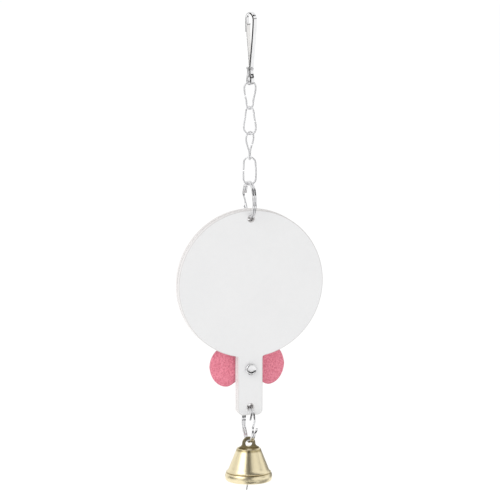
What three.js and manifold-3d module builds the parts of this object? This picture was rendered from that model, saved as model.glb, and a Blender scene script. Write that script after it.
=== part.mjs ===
import * as THREE from "three";
import { mergeVertices } from "three/addons/utils/BufferGeometryUtils.js";
import Module from "manifold-3d";

// A hanging bird mirror: snap hook, twisted chain, split ring, mirror with a felt bow, split ring and bell.
// Millimetres, +Z up. The origin is where the cage bar bears, inside the top of the hook.
// The white back of the mirror faces -Y, the reflecting side and the bow face +Y.

// Clearances
const SEAT_GAP = 0.3;
const HOLE_SEAT_GAP = 0.2;
const FIT_GAP = 0.25;

// Snap hook, bent from one strip, with its loop turned away from the mirror's plane
const HOOK_TURN = -67;
const STRIP_WIDTH = 2.1;
const STRIP_THICKNESS = 1.2;
const STRIP_EDGE_ROUND = 0.3;
const MOUTH_WIDTH = 5.25;
const ARCH_OFFSET = 0.5;
const NOSE_LENGTH = 7.6;
const LEG_LENGTH = 25.8;
const NECK_LENGTH = 1.9;
const EYE_DROP = 5.9;
const EYE_BORE = 2.4;

// Spring gate of the hook and the rivet that clamps it in the neck
const GATE_THICKNESS = 0.4;
const GATE_ROOT_WIDTH = 1.5;
const GATE_TIP_WIDTH = 2.8;
const GATE_TIP_CORNER = 0.5;
const GATE_NOSE_OVERLAP = 5.0;
const GATE_LIP_LENGTH = 1.3;
const GATE_LIP_LEAN = 0.5;
const GATE_RIVET_DIAMETER = 0.8;
const GATE_RIVET_HEAD_DIAMETER = 1.7;
const GATE_RIVET_HEAD_HEIGHT = 0.45;
const GATE_RIVET_CROWN = 1.0;

// Twisted chain links, bent from wire, with the ends butted on one side
const LINK_COUNT = 4;
const LINK_WIRE = 1.0;
const LINK_LENGTH = 15.9;
const LINK_WIDTH = 7.7;
const LINK_TWIST = 32;
const LINK_BUTT_GAP = 0.45;
const LINK_CROSSING = 72;
const FIRST_LINK_TURN = 9.6;

// Split rings: two turns of wire that change layer at a joggle, with the ends sprung open
const RING_DIAMETER = 20.4;
const RING_WIRE = 1.05;
const RING_LAYER_GAP = 0.45;
const RING_JOGGLE = 52;
const RING_END_FLARE = 0.45;
const UPPER_RING_JOGGLE_AT = 75;
const LOWER_RING_JOGGLE_AT = 262;

// Mirror: two sheets of one outline, a disc with a handle, laminated over a reflecting foil
const DISC_RADIUS = 40;
const HANDLE_WIDTH = 13.5;
const HANDLE_LENGTH = 31.5;
const HANDLE_CORNER = 2.9;
const HANDLE_FILLET = 1.3;
const BACK_THICKNESS = 3.0;
const FOIL_THICKNESS = 0.2;
const ACRYLIC_THICKNESS = 3.0;
const SHEET_CHAMFER = 0.2;
const UPPER_HOLE_INSET = 4.7;
const LOWER_HOLE_INSET = 4.5;
const RING_HOLE = 3.4;

// Rivet through the handle and the bow
const RIVET_BELOW_DISC = 6.5;
const RIVET_SHANK = 2.4;
const RIVET_HEAD = 5.8;
const RIVET_DOME = 1.0;
const RIVET_SQUARENESS = 5;
const RIVET_FLANGE = 0.5;
const RIVET_CAP_GRIP = 0.5;

// Felt bow, gathered at the waist by the rivet
const BOW_LOBE_CENTRE = 11.7;
const BOW_LOBE_REACH = 9.0;
const BOW_LOBE_HALF_HEIGHT = 10.9;
const BOW_WAIST_HALF_HEIGHT = 4.4;
const BOW_FELT = 2.2;
const BOW_CURL = 1.4;
const BOW_GATHER_DEPTH = 0.45;
const BOW_GATHER_REACH = 6.5;
const BOW_GATHERS = 3;
const BOW_TILT = 1.8;
const BOW_SHIFT = 0.4;
const BOW_RISE = 0.8;

// Bell, with a flat ear that has a tang through the crown
const BELL_CROWN_RADIUS = 6.5;
const BELL_CROWN_ROUND = 0.6;
const BELL_CONE_RADIUS = 10.2;
const BELL_CONE_HEIGHT = 9.9;
const BELL_RIM_RADIUS = 12.6;
const BELL_RIM_SWELL = 0.6;
const BELL_RIM_BAND = 4.5;
const BELL_RIM_GROOVE = 0.3;
const BELL_HEIGHT = 17.5;
const BELL_WALL = 0.8;
const EAR_THICKNESS = 1.0;
const EAR_RADIUS = 3.6;
const EAR_RISE = 2.6;
const EAR_HOLE = 3.8;
const EAR_FOOT_WIDTH = 11.4;
const EAR_FOOT_HEIGHT = 0.4;
const TANG_WIDTH = 4.0;
const TANG_LENGTH = 3.4;
const TANG_HOLE = 2.0;
const TANG_MARGIN = 0.9;

// Clapper: a wire with an eye, and a ball on it
const CLAPPER_WIRE = 0.8;
const CLAPPER_EYE_RADIUS = 1.9;
const CLAPPER_EYE_FROM = 50;
const CLAPPER_EYE_TO = 290;
const CLAPPER_NECK = 1.2;
const CLAPPER_BALL = 5.0;
const CLAPPER_BALL_DROP = 9.6;
const CLAPPER_TAIL = 7.4;
const CLAPPER_TAIL_LEAN = 1.1;

// Facets
const WIRE_SIDES = 8;
const LINK_STEPS = 44;
const RING_STEPS = 62;
const HOOK_STEPS = 72;
const CLAPPER_STEPS = 36;
const EYE_STEPS = 6;
const ARC_SEGMENTS = 6;
const DISC_ARCS = 7;
const BELL_SEGMENTS = 40;
const CROWN_STEPS = 3;
const FLARE_STEPS = 4;
const RIM_STEPS = 7;
const RIVET_SEGMENTS = 20;
const BALL_STEPS = 10;
const BOW_STATIONS = 36;
const BOW_SECTION = 18;

const wasm = await Module();
wasm.setup();

const radians = THREE.MathUtils.degToRad;

// How far a round bar's centre lies from the centre of the arc that it rests in, at a distance to the side.
function restHeight(arcRadius, barRadius, sideways, gap) {
  const reach = arcRadius - barRadius - gap;
  return Math.sqrt(reach * reach - sideways * sideways);
}

// How far an arc has dropped from its top at a distance to the side.
function drop(arcRadius, sideways) {
  return arcRadius - Math.sqrt(arcRadius * arcRadius - sideways * sideways);
}

// Angle at which two upright planes cross, from 0 to 90 degrees, as its sine.
function crossingSine(turnA, turnB) {
  return Math.abs(Math.sin(radians(turnA - turnB)));
}

// Solids and joins

function toSolid(geometry) {
  const bare = geometry.clone();
  bare.deleteAttribute("normal");
  bare.deleteAttribute("uv");
  const merged = mergeVertices(bare, 1e-4);
  return new wasm.Manifold(
    new wasm.Mesh({
      numProp: 3,
      vertProperties: merged.attributes.position.array,
      triVerts: new Uint32Array(merged.index.array),
    }),
  );
}

function toGeometry(solid) {
  const mesh = solid.getMesh();
  const geometry = new THREE.BufferGeometry();
  geometry.setAttribute("position", new THREE.BufferAttribute(mesh.vertProperties, 3));
  geometry.setIndex(new THREE.BufferAttribute(mesh.triVerts, 1));
  geometry.computeVertexNormals();
  return geometry;
}

function cut(geometry, ...tools) {
  return toGeometry(tools.reduce((left, tool) => left.subtract(toSolid(tool)), toSolid(geometry)));
}

function roundShape(diameter) {
  const points = [];
  for (let i = 0; i < WIRE_SIDES; i++) {
    const angle = (2 * Math.PI * i) / WIRE_SIDES;
    points.push(new THREE.Vector2(Math.cos(angle), Math.sin(angle)).multiplyScalar(diameter / 2));
  }
  return new THREE.Shape(points);
}

function sweep(shape, path, steps) {
  return new THREE.ExtrudeGeometry(shape, { steps, extrudePath: path, bevelEnabled: false });
}

// A flat piece with its outline in X and Z, between two depths along Y.
function sheet(shape, near, far, chamfer = 0) {
  const geometry = new THREE.ExtrudeGeometry(shape, {
    depth: far - near - 2 * chamfer,
    curveSegments: ARC_SEGMENTS,
    bevelEnabled: chamfer > 0,
    bevelThickness: chamfer,
    bevelSize: chamfer,
    bevelOffset: -chamfer,
    bevelSegments: 1,
  });
  geometry.rotateX(Math.PI / 2);
  geometry.translate(0, far - chamfer, 0);
  return geometry;
}

// A turned piece whose profile gives radius and height, with its axis along Z.
function turned(profile, segments) {
  return new THREE.LatheGeometry(profile, segments).rotateX(Math.PI / 2);
}

function rod(diameter, length) {
  return new THREE.CylinderGeometry(diameter / 2, diameter / 2, length, RIVET_SEGMENTS);
}

// A curve in the X-Z plane from a flat path.
class UprightCurve extends THREE.Curve {
  constructor(path) {
    super();
    this.path = path;
    this.arcLengthDivisions = 600;
  }
  getPoint(t, target = new THREE.Vector3()) {
    const point = this.path.getPoint(t);
    return target.set(point.x, 0, point.y);
  }
}

// Materials

function metal(color, roughness) {
  return new THREE.MeshStandardMaterial({ color, roughness, metalness: 1 });
}

function plain(color, roughness) {
  return new THREE.MeshStandardMaterial({ color, roughness, metalness: 0 });
}

const nickel = () => metal(0xd9dadb, 0.18);
const springSteel = () => metal(0xcfcfcc, 0.28);
const silverFoil = () => metal(0xe4e6e8, 0.03);
const paleBrass = () => metal(0xd8b878, 0.2);
const whitePlastic = () => plain(0xececec, 0.35);
const clearAcrylic = () => plain(0xeff2f2, 0.05);
const pinkFelt = () => plain(0xe5889c, 0.95);

function piece(name, geometry, material) {
  const mesh = new THREE.Mesh(geometry, material);
  mesh.name = name;
  return mesh;
}

function bodyAt(x, y, z) {
  const group = new THREE.Group();
  group.position.set(x, y, z);
  return group;
}

// Snap hook, in its own plane: the leg is at +X, the nose and the gate at -X

const archRadius = (MOUTH_WIDTH + STRIP_THICKNESS) / 2;
const archHeight = -MOUTH_WIDTH / 2;
const neckHalf = STRIP_THICKNESS / 2 + FIT_GAP + GATE_THICKNESS / 2;
const neckTop = archHeight - LEG_LENGTH;
const neckBottom = neckTop - NECK_LENGTH;
const neckMiddle = (neckTop + neckBottom) / 2;
const eyeRadius = (EYE_BORE + STRIP_THICKNESS) / 2;
const eyeHeight = neckBottom - EYE_DROP;

function hookPath() {
  const path = new THREE.Path();
  const noseX = ARCH_OFFSET - archRadius;
  const legX = ARCH_OFFSET + archRadius;
  path.moveTo(noseX, archHeight - NOSE_LENGTH);
  path.lineTo(noseX, archHeight);
  path.absarc(ARCH_OFFSET, archHeight, archRadius, Math.PI, 0, true);
  path.bezierCurveTo(
    legX,
    archHeight - LEG_LENGTH / 4,
    neckHalf + (legX - neckHalf) / 4,
    neckTop + LEG_LENGTH / 4,
    neckHalf,
    neckTop,
  );
  path.lineTo(neckHalf, neckBottom);
  path.bezierCurveTo(
    neckHalf,
    neckBottom - EYE_DROP / 2,
    eyeRadius,
    eyeHeight + EYE_DROP / 2,
    eyeRadius,
    eyeHeight,
  );
  path.absarc(0, eyeHeight, eyeRadius, 0, -Math.PI, true);
  path.bezierCurveTo(
    -eyeRadius,
    eyeHeight + EYE_DROP / 2,
    -neckHalf,
    neckBottom - EYE_DROP / 2,
    -neckHalf,
    neckBottom,
  );
  path.lineTo(-neckHalf, neckTop);
  return path;
}

function stripShape() {
  const w = STRIP_WIDTH / 2;
  const t = STRIP_THICKNESS / 2;
  const c = STRIP_EDGE_ROUND;
  const shape = new THREE.Shape();
  shape.moveTo(w, -t + c);
  shape.lineTo(w, t - c);
  shape.lineTo(w - c, t);
  shape.lineTo(c - w, t);
  shape.lineTo(-w, t - c);
  shape.lineTo(-w, c - t);
  shape.lineTo(c - w, -t);
  shape.lineTo(w - c, -t);
  return shape;
}

function neckHole() {
  const span = 2 * (neckHalf + STRIP_THICKNESS);
  const hole = rod(GATE_RIVET_DIAMETER + 2 * FIT_GAP, span).rotateZ(Math.PI / 2);
  return hole.translate(0, 0, neckMiddle);
}

function hookBody() {
  return cut(sweep(stripShape(), new UprightCurve(hookPath()), HOOK_STEPS), neckHole());
}

const gateTip = archHeight - NOSE_LENGTH + GATE_NOSE_OVERLAP;

// The gate from the side: a thin ribbon from the neck to the inside of the nose, with a lip that leans off the nose.
function gateSide() {
  const half = GATE_THICKNESS / 2;
  const lean = ARCH_OFFSET - MOUTH_WIDTH / 2 + FIT_GAP + half;
  const lipFoot = gateTip - GATE_LIP_LENGTH;
  const rise = lipFoot - neckTop;
  const line = new THREE.CubicBezierCurve(
    new THREE.Vector2(0, neckTop),
    new THREE.Vector2(0, neckTop + rise / 8),
    new THREE.Vector2(lean, lipFoot - rise / 8),
    new THREE.Vector2(lean, lipFoot),
  );
  const lip = new THREE.QuadraticBezierCurve(
    new THREE.Vector2(lean, lipFoot),
    new THREE.Vector2(lean, lipFoot + GATE_LIP_LENGTH / 2),
    new THREE.Vector2(lean + GATE_LIP_LEAN, gateTip),
  );
  const middle = [...line.getPoints(2 * ARC_SEGMENTS), ...lip.getPoints(FLARE_STEPS).slice(1)];
  const shape = new THREE.Shape([
    new THREE.Vector2(half, neckBottom),
    ...middle.map((p) => new THREE.Vector2(p.x + half, p.y)),
    ...middle.reverse().map((p) => new THREE.Vector2(p.x - half, p.y)),
    new THREE.Vector2(-half, neckBottom),
  ]);
  return sheet(shape, -GATE_TIP_WIDTH / 2, GATE_TIP_WIDTH / 2);
}

// The gate from the front: it widens from the neck to a tip with round corners.
function gateFront() {
  const tip = GATE_TIP_WIDTH / 2;
  const root = GATE_ROOT_WIDTH / 2;
  const corner = GATE_TIP_CORNER;
  const shape = new THREE.Shape();
  shape.moveTo(-root, neckBottom);
  shape.lineTo(root, neckBottom);
  shape.lineTo(root, neckTop);
  shape.lineTo(tip, gateTip - corner);
  shape.absarc(tip - corner, gateTip - corner, corner, 0, Math.PI / 2, false);
  shape.absarc(corner - tip, gateTip - corner, corner, Math.PI / 2, Math.PI, false);
  shape.lineTo(-root, neckTop);
  return sheet(shape, -MOUTH_WIDTH, MOUTH_WIDTH).rotateZ(Math.PI / 2);
}

function hookGate() {
  const blade = toSolid(gateSide()).intersect(toSolid(gateFront()));
  return cut(toGeometry(blade), neckHole());
}

function gateRivet() {
  const shank = GATE_RIVET_DIAMETER / 2;
  const head = GATE_RIVET_HEAD_DIAMETER / 2;
  const crown = GATE_RIVET_CROWN / 2;
  const seat = neckHalf + STRIP_THICKNESS / 2 + FIT_GAP;
  const top = seat + GATE_RIVET_HEAD_HEIGHT;
  const profile = [
    [0, -top],
    [crown, -top],
    [head, -seat],
    [shank, -seat],
    [shank, seat],
    [head, seat],
    [crown, top],
    [0, top],
  ].map(([r, z]) => new THREE.Vector2(r, z));
  return turned(profile, RIVET_SEGMENTS).rotateY(Math.PI / 2).translate(0, 0, neckMiddle);
}

// Chain link: a long loop of wire with its two ends turned against each other about its length

const linkRadius = (LINK_WIDTH - LINK_WIRE) / 2;
const linkStraight = (LINK_LENGTH - LINK_WIDTH) / 2;
const linkSpan = LINK_LENGTH - LINK_WIRE;

// Starts at the butt joint, half way up one side. Its top is at height 0 and lies along X before the turn.
class LinkCurve extends THREE.Curve {
  constructor(turn) {
    super();
    this.turn = radians(turn);
    this.arcLengthDivisions = 400;
  }
  getPoint(t, target = new THREE.Vector3()) {
    const round = Math.PI * linkRadius;
    const total = 2 * round + 4 * linkStraight;
    const s = LINK_BUTT_GAP / 2 + t * (total - LINK_BUTT_GAP);
    let side = -linkRadius;
    let z = 0;
    if (s < linkStraight) {
      z = s;
    } else if (s < linkStraight + round) {
      const angle = Math.PI - (s - linkStraight) / linkRadius;
      side = linkRadius * Math.cos(angle);
      z = linkStraight + linkRadius * Math.sin(angle);
    } else if (s < 3 * linkStraight + round) {
      side = linkRadius;
      z = 2 * linkStraight + round - s;
    } else if (s < 3 * linkStraight + 2 * round) {
      const angle = -(s - 3 * linkStraight - round) / linkRadius;
      side = linkRadius * Math.cos(angle);
      z = -linkStraight + linkRadius * Math.sin(angle);
    } else {
      z = s - total;
    }
    const twist = 1 - THREE.MathUtils.smoothstep(z, -linkStraight, linkStraight);
    const angle = this.turn + radians(LINK_TWIST) * twist;
    return target.set(side * Math.cos(angle), side * Math.sin(angle), z - linkSpan / 2);
  }
}

function chainLink(turn) {
  return sweep(roundShape(LINK_WIRE), new LinkCurve(turn), LINK_STEPS);
}

// Split ring: its axis is X and its centre the origin; angles run from the top towards +Y

const ringRadius = (RING_DIAMETER - RING_WIRE) / 2;
const ringLayer = (RING_WIRE + RING_LAYER_GAP) / 2;

class SplitRingCurve extends THREE.Curve {
  constructor(joggleAt) {
    super();
    this.joggleAt = joggleAt;
    this.arcLengthDivisions = 600;
  }
  getPoint(t, target = new THREE.Vector3()) {
    const first = RING_JOGGLE / 2;
    const turn = first + t * (720 - 2 * first);
    const along = THREE.MathUtils.smoothstep(turn, 360 - first, 360 + first);
    const open = Math.min(turn - first, 720 - first - turn);
    const flare = RING_END_FLARE * (1 - THREE.MathUtils.smoothstep(open, 0, RING_JOGGLE));
    const side = 2 * along - 1;
    const angle = radians(this.joggleAt + turn);
    return target.set(
      side * (ringLayer + flare),
      ringRadius * Math.sin(angle),
      ringRadius * Math.cos(angle),
    );
  }
}

function splitRing(joggleAt) {
  return sweep(roundShape(RING_WIRE), new SplitRingCurve(joggleAt), RING_STEPS);
}

// Least clear distance between stretches of the wire that lie at least a quarter turn apart along it.
function leastRingGap(joggleAt) {
  const samples = 480;
  const points = new SplitRingCurve(joggleAt).getSpacedPoints(samples);
  const apart = samples / 8;
  let least = Infinity;
  for (let i = 0; i < points.length; i++)
    for (let j = i + apart; j < points.length; j++) least = Math.min(least, points[i].distanceTo(points[j]));
  return least - RING_WIRE;
}

// Mirror: all sheets share the outline of the disc and its handle

const handleHalf = HANDLE_WIDTH / 2;
const handleEnd = DISC_RADIUS + HANDLE_LENGTH;
const upperHoleRise = DISC_RADIUS - UPPER_HOLE_INSET;
const lowerHoleDrop = handleEnd - LOWER_HOLE_INSET;
const rivetDrop = DISC_RADIUS + RIVET_BELOW_DISC;
const mirrorThickness = BACK_THICKNESS + FOIL_THICKNESS + ACRYLIC_THICKNESS;
const backFace = -mirrorThickness / 2;
const foilBack = backFace + BACK_THICKNESS;
const foilFront = foilBack + FOIL_THICKNESS;
const frontFace = mirrorThickness / 2;

function hole(diameter, z) {
  const path = new THREE.Path();
  path.absarc(0, z, diameter / 2, 0, Math.PI, false);
  path.absarc(0, z, diameter / 2, Math.PI, 2 * Math.PI, false);
  return path;
}

function mirrorShape() {
  const f = HANDLE_FILLET;
  const c = HANDLE_CORNER;
  const filletZ = -Math.sqrt((DISC_RADIUS + f) ** 2 - (handleHalf + f) ** 2);
  const meet = Math.atan2(-filletZ, handleHalf + f);
  const start = -meet;
  const sweepAngle = Math.PI + 2 * meet;
  const shape = new THREE.Shape();
  for (let i = 0; i < DISC_ARCS; i++) {
    const from = start + (sweepAngle * i) / DISC_ARCS;
    shape.absarc(0, 0, DISC_RADIUS, from, from + sweepAngle / DISC_ARCS, false);
  }
  shape.absarc(-handleHalf - f, filletZ, f, meet, 0, true);
  shape.lineTo(-handleHalf, c - handleEnd);
  shape.absarc(c - handleHalf, c - handleEnd, c, Math.PI, 1.5 * Math.PI, false);
  shape.lineTo(handleHalf - c, -handleEnd);
  shape.absarc(handleHalf - c, c - handleEnd, c, 1.5 * Math.PI, 2 * Math.PI, false);
  shape.lineTo(handleHalf, filletZ);
  shape.absarc(handleHalf + f, filletZ, f, Math.PI, Math.PI - meet, true);
  shape.holes = [
    hole(RING_HOLE, upperHoleRise),
    hole(RING_HOLE, -lowerHoleDrop),
    hole(RIVET_SHANK + 2 * FIT_GAP, -rivetDrop),
  ];
  return shape;
}

// Bow: sections across its length, each a flat felt oval, drawn in at the waist with folds that run outwards

const bowBack = frontFace + SEAT_GAP + BOW_GATHER_DEPTH;
const bowFront = bowBack + BOW_FELT + BOW_GATHER_DEPTH;

function bowHalfHeight(x) {
  const out = Math.abs(x);
  if (out < BOW_LOBE_CENTRE) {
    const swell = THREE.MathUtils.smoothstep(out, 0, BOW_LOBE_CENTRE);
    return THREE.MathUtils.lerp(BOW_WAIST_HALF_HEIGHT, BOW_LOBE_HALF_HEIGHT, swell);
  }
  const end = Math.min(1, (out - BOW_LOBE_CENTRE) / BOW_LOBE_REACH);
  return BOW_LOBE_HALF_HEIGHT * Math.sqrt(1 - end * end);
}

function bowPoint(x, angle) {
  const half = bowHalfHeight(x);
  const across = Math.sin(angle);
  const face = Math.sign(Math.cos(angle)) * Math.sqrt(Math.abs(Math.cos(angle)));
  const reach = BOW_LOBE_CENTRE + BOW_LOBE_REACH;
  const curl = BOW_CURL * (x / reach) ** 2;
  const fade = Math.exp(-((x / BOW_GATHER_REACH) ** 2));
  const fold = BOW_GATHER_DEPTH * fade * Math.cos(Math.PI * BOW_GATHERS * across);
  return [x, bowBack + BOW_FELT / 2 + (BOW_FELT / 2) * face + curl + fold, half * across];
}

function bowGeometry() {
  const reach = BOW_LOBE_CENTRE + BOW_LOBE_REACH;
  const points = [];
  for (let i = 1; i < BOW_STATIONS; i++) {
    const x = -reach * Math.cos((Math.PI * i) / BOW_STATIONS);
    for (let j = 0; j < BOW_SECTION; j++) points.push(bowPoint(x, (2 * Math.PI * j) / BOW_SECTION));
  }
  const tipY = bowBack + BOW_FELT / 2 + BOW_CURL;
  const firstTip = points.push([-reach, tipY, 0]) - 1;
  const lastTip = points.push([reach, tipY, 0]) - 1;
  const faces = [];
  const rings = BOW_STATIONS - 1;
  for (let j = 0; j < BOW_SECTION; j++) {
    const k = (j + 1) % BOW_SECTION;
    for (let i = 0; i < rings - 1; i++) {
      const a = i * BOW_SECTION;
      const b = a + BOW_SECTION;
      faces.push(a + j, a + k, b + j, a + k, b + k, b + j);
    }
    const last = (rings - 1) * BOW_SECTION;
    faces.push(firstTip, k, j, lastTip, last + j, last + k);
  }
  const geometry = new THREE.BufferGeometry();
  geometry.setAttribute("position", new THREE.Float32BufferAttribute(points.flat(), 3));
  geometry.setIndex(faces);
  geometry.rotateY(-radians(BOW_TILT));
  geometry.translate(BOW_SHIFT, 0, BOW_RISE);
  return cut(geometry, rod(RIVET_SHANK + 2 * FIT_GAP, 4 * bowFront));
}

// Rivet: the post has its flat-topped head on the back, the cap grips its end in front of the bow

// A rivet head that is flat on top and round at its edge, as a quarter of a squared circle over a straight flange.
function domeProfile(edge, base, flange, dome) {
  const power = 2 / RIVET_SQUARENESS;
  const points = [new THREE.Vector2(edge, base)];
  for (let i = 0; i <= ARC_SEGMENTS; i++) {
    const angle = (Math.PI * i) / (2 * ARC_SEGMENTS);
    const r = i === ARC_SEGMENTS ? 0 : edge * Math.cos(angle) ** power;
    points.push(new THREE.Vector2(r, base + flange + dome * Math.sin(angle) ** power));
  }
  return points;
}

const capSeat = bowFront + FIT_GAP;

function rivetPost() {
  const shank = RIVET_SHANK / 2;
  const headSeat = -backFace + FIT_GAP;
  const end = -(capSeat + RIVET_FLANGE + RIVET_CAP_GRIP - FIT_GAP);
  const profile = [
    new THREE.Vector2(0, end),
    new THREE.Vector2(shank, end),
    new THREE.Vector2(shank, headSeat),
    ...domeProfile(RIVET_HEAD / 2, headSeat, RIVET_FLANGE, RIVET_DOME),
  ];
  return new THREE.LatheGeometry(profile, RIVET_SEGMENTS).rotateZ(Math.PI);
}

function rivetCap() {
  const bore = RIVET_SHANK / 2 + FIT_GAP;
  const depth = capSeat + RIVET_FLANGE + RIVET_CAP_GRIP;
  const profile = [
    new THREE.Vector2(0, depth),
    new THREE.Vector2(bore, depth),
    new THREE.Vector2(bore, capSeat),
    ...domeProfile(RIVET_HEAD / 2, capSeat, RIVET_FLANGE, RIVET_DOME),
  ];
  return new THREE.LatheGeometry(profile, RIVET_SEGMENTS);
}

// Bell: its crown's top face is at height 0

const rimFoot = BELL_RIM_RADIUS - BELL_RIM_SWELL;
const bandTop = BELL_HEIGHT - BELL_RIM_BAND;

function bellOutside() {
  const round = BELL_CROWN_ROUND;
  const corner = BELL_CROWN_RADIUS - round;
  const points = [new THREE.Vector2(0, 0)];
  for (let i = 0; i <= CROWN_STEPS; i++) {
    const angle = (Math.PI * i) / (2 * CROWN_STEPS);
    points.push(new THREE.Vector2(corner + round * Math.sin(angle), round * Math.cos(angle) - round));
  }
  const flare = new THREE.QuadraticBezierCurve(
    new THREE.Vector2(BELL_CONE_RADIUS, -BELL_CONE_HEIGHT),
    new THREE.Vector2((BELL_CONE_RADIUS + rimFoot) / 2, -bandTop + BELL_RIM_GROOVE),
    new THREE.Vector2(rimFoot, -bandTop + BELL_RIM_GROOVE),
  );
  points.push(...flare.getPoints(FLARE_STEPS));
  for (let i = 0; i <= RIM_STEPS; i++) {
    const part = i / RIM_STEPS;
    const swell = (BELL_RIM_SWELL + BELL_RIM_GROOVE) * Math.sqrt(Math.sin(Math.PI * part));
    points.push(new THREE.Vector2(rimFoot - BELL_RIM_GROOVE + swell, -bandTop - BELL_RIM_BAND * part));
  }
  return points;
}

function bellInside() {
  const mouth = rimFoot - BELL_RIM_GROOVE - BELL_WALL;
  return [
    new THREE.Vector2(mouth, -BELL_HEIGHT),
    new THREE.Vector2(mouth, -bandTop),
    new THREE.Vector2(BELL_CONE_RADIUS - BELL_WALL, -BELL_CONE_HEIGHT),
    new THREE.Vector2(BELL_CROWN_RADIUS - BELL_WALL, -BELL_CROWN_ROUND - BELL_WALL),
    new THREE.Vector2(BELL_CROWN_RADIUS - BELL_CROWN_ROUND - BELL_WALL, -BELL_WALL),
    new THREE.Vector2(0, -BELL_WALL),
  ];
}

function bellShell() {
  const shell = turned([...bellOutside(), ...bellInside()].reverse(), BELL_SEGMENTS);
  const slotWidth = TANG_WIDTH + 2 * FIT_GAP;
  const slotDepth = EAR_THICKNESS + 2 * FIT_GAP;
  return cut(shell, new THREE.BoxGeometry(slotWidth, slotDepth, 4 * BELL_WALL));
}

const tangEnd = -BELL_WALL - TANG_LENGTH;
const tangHoleFloor = tangEnd + TANG_MARGIN;

function bellEar() {
  const foot = EAR_FOOT_WIDTH / 2;
  const tang = TANG_WIDTH / 2;
  const shape = new THREE.Shape();
  shape.moveTo(-tang, tangEnd);
  shape.lineTo(tang, tangEnd);
  shape.lineTo(tang, 0);
  shape.lineTo(foot, 0);
  shape.lineTo(foot, EAR_FOOT_HEIGHT);
  shape.quadraticCurveTo(EAR_RADIUS, EAR_RISE / 2, EAR_RADIUS, EAR_RISE);
  shape.absarc(0, EAR_RISE, EAR_RADIUS, 0, Math.PI, false);
  shape.quadraticCurveTo(-EAR_RADIUS, EAR_RISE / 2, -foot, EAR_FOOT_HEIGHT);
  shape.lineTo(-foot, 0);
  shape.lineTo(-tang, 0);
  shape.holes = [hole(EAR_HOLE, EAR_RISE), hole(TANG_HOLE, tangHoleFloor + TANG_HOLE / 2)];
  return sheet(shape, -EAR_THICKNESS / 2, EAR_THICKNESS / 2);
}

// Clapper: height 0 is where its eye bears in the tang

const clapperEyeDrop = drop(CLAPPER_EYE_RADIUS, EAR_THICKNESS / 2);
const clapperSeat = tangHoleFloor + HOLE_SEAT_GAP + CLAPPER_WIRE / 2 + clapperEyeDrop;

function clapperWire() {
  const r = CLAPPER_EYE_RADIUS;
  const points = [];
  for (let i = 0; i <= EYE_STEPS; i++) {
    const turn = radians(CLAPPER_EYE_FROM + ((CLAPPER_EYE_TO - CLAPPER_EYE_FROM) * i) / EYE_STEPS);
    points.push(new THREE.Vector3(0, r * Math.sin(turn), -r - r * Math.cos(turn)));
  }
  const shankTop = -2 * r - CLAPPER_NECK;
  const ballTop = -CLAPPER_BALL_DROP + CLAPPER_BALL / 2;
  const ballBottom = -CLAPPER_BALL_DROP - CLAPPER_BALL / 2;
  const tailTop = ballBottom - CLAPPER_WIRE;
  for (const z of [shankTop, ballTop, ballBottom, tailTop]) points.push(new THREE.Vector3(0, 0, z));
  points.push(new THREE.Vector3(-CLAPPER_TAIL_LEAN / 2, 0, tailTop - CLAPPER_TAIL / 2));
  points.push(new THREE.Vector3(-CLAPPER_TAIL_LEAN, 0, tailTop - CLAPPER_TAIL));
  const path = new THREE.CatmullRomCurve3(points);
  return sweep(roundShape(CLAPPER_WIRE), path, CLAPPER_STEPS);
}

function clapperBall() {
  const radius = CLAPPER_BALL / 2;
  const bore = CLAPPER_WIRE / 2 + FIT_GAP;
  const pole = Math.asin(bore / radius);
  const profile = [];
  for (let i = 0; i <= BALL_STEPS; i++) {
    const angle = pole + ((Math.PI - 2 * pole) * i) / BALL_STEPS;
    profile.push(new THREE.Vector2(radius * Math.sin(angle), -radius * Math.cos(angle)));
  }
  profile.push(profile[0].clone());
  return turned(profile, RIVET_SEGMENTS);
}

// Assembly: each body's group has its origin where the body above carries it

const linkRise = LINK_WIRE + SEAT_GAP;
const linkTurn = (i) => FIRST_LINK_TURN + i * (LINK_TWIST + LINK_CROSSING);
const ringTurn = 90;
const coilDrop = drop(ringRadius, mirrorThickness / 2);
const coilRest = restHeight(RING_HOLE / 2, RING_WIRE / 2, ringLayer, HOLE_SEAT_GAP) - coilDrop;

function hook() {
  const group = bodyAt(0, 0, 0);
  group.rotation.z = radians(HOOK_TURN);
  group.add(piece("hook_body", hookBody(), nickel()));
  group.add(piece("hook_gate", hookGate(), springSteel()));
  group.add(piece("gate_rivet", gateRivet(), nickel()));
  return group;
}

function chain(mirror) {
  const innerArc = linkRadius - LINK_WIRE / 2;
  const stripHalf = STRIP_WIDTH / 2 / crossingSine(FIRST_LINK_TURN, HOOK_TURN);
  const eyeFloor = eyeHeight - EYE_BORE / 2;
  const seat = eyeFloor + SEAT_GAP + drop(innerArc, stripHalf) + LINK_WIRE / 2;
  const first = bodyAt(0, 0, seat);
  let above = first;
  let rise = 0;
  for (let i = 0; i < LINK_COUNT; i++) {
    const name = `chain_link_${i + 1}`;
    above.add(piece(name, chainLink(linkTurn(i)).translate(0, 0, rise), nickel()));
    const below = bodyAt(0, 0, rise - linkSpan);
    above.add(below);
    above = below;
    rise = linkRise;
  }
  above.add(upperRing(mirror));
  return first;
}

function upperRing(mirror) {
  const lastTurn = linkTurn(LINK_COUNT - 1) + LINK_TWIST;
  const sideways = ringLayer / crossingSine(lastTurn, ringTurn);
  const rest = restHeight(linkRadius - LINK_WIRE / 2, RING_WIRE / 2, sideways, SEAT_GAP);
  const rise = linkRadius - rest;
  const group = bodyAt(0, 0, 0);
  const ring = splitRing(UPPER_RING_JOGGLE_AT).translate(0, 0, rise - ringRadius);
  group.add(piece("upper_split_ring", ring, nickel()));
  mirror.position.z = rise - 2 * ringRadius;
  group.add(mirror);
  return group;
}

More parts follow.
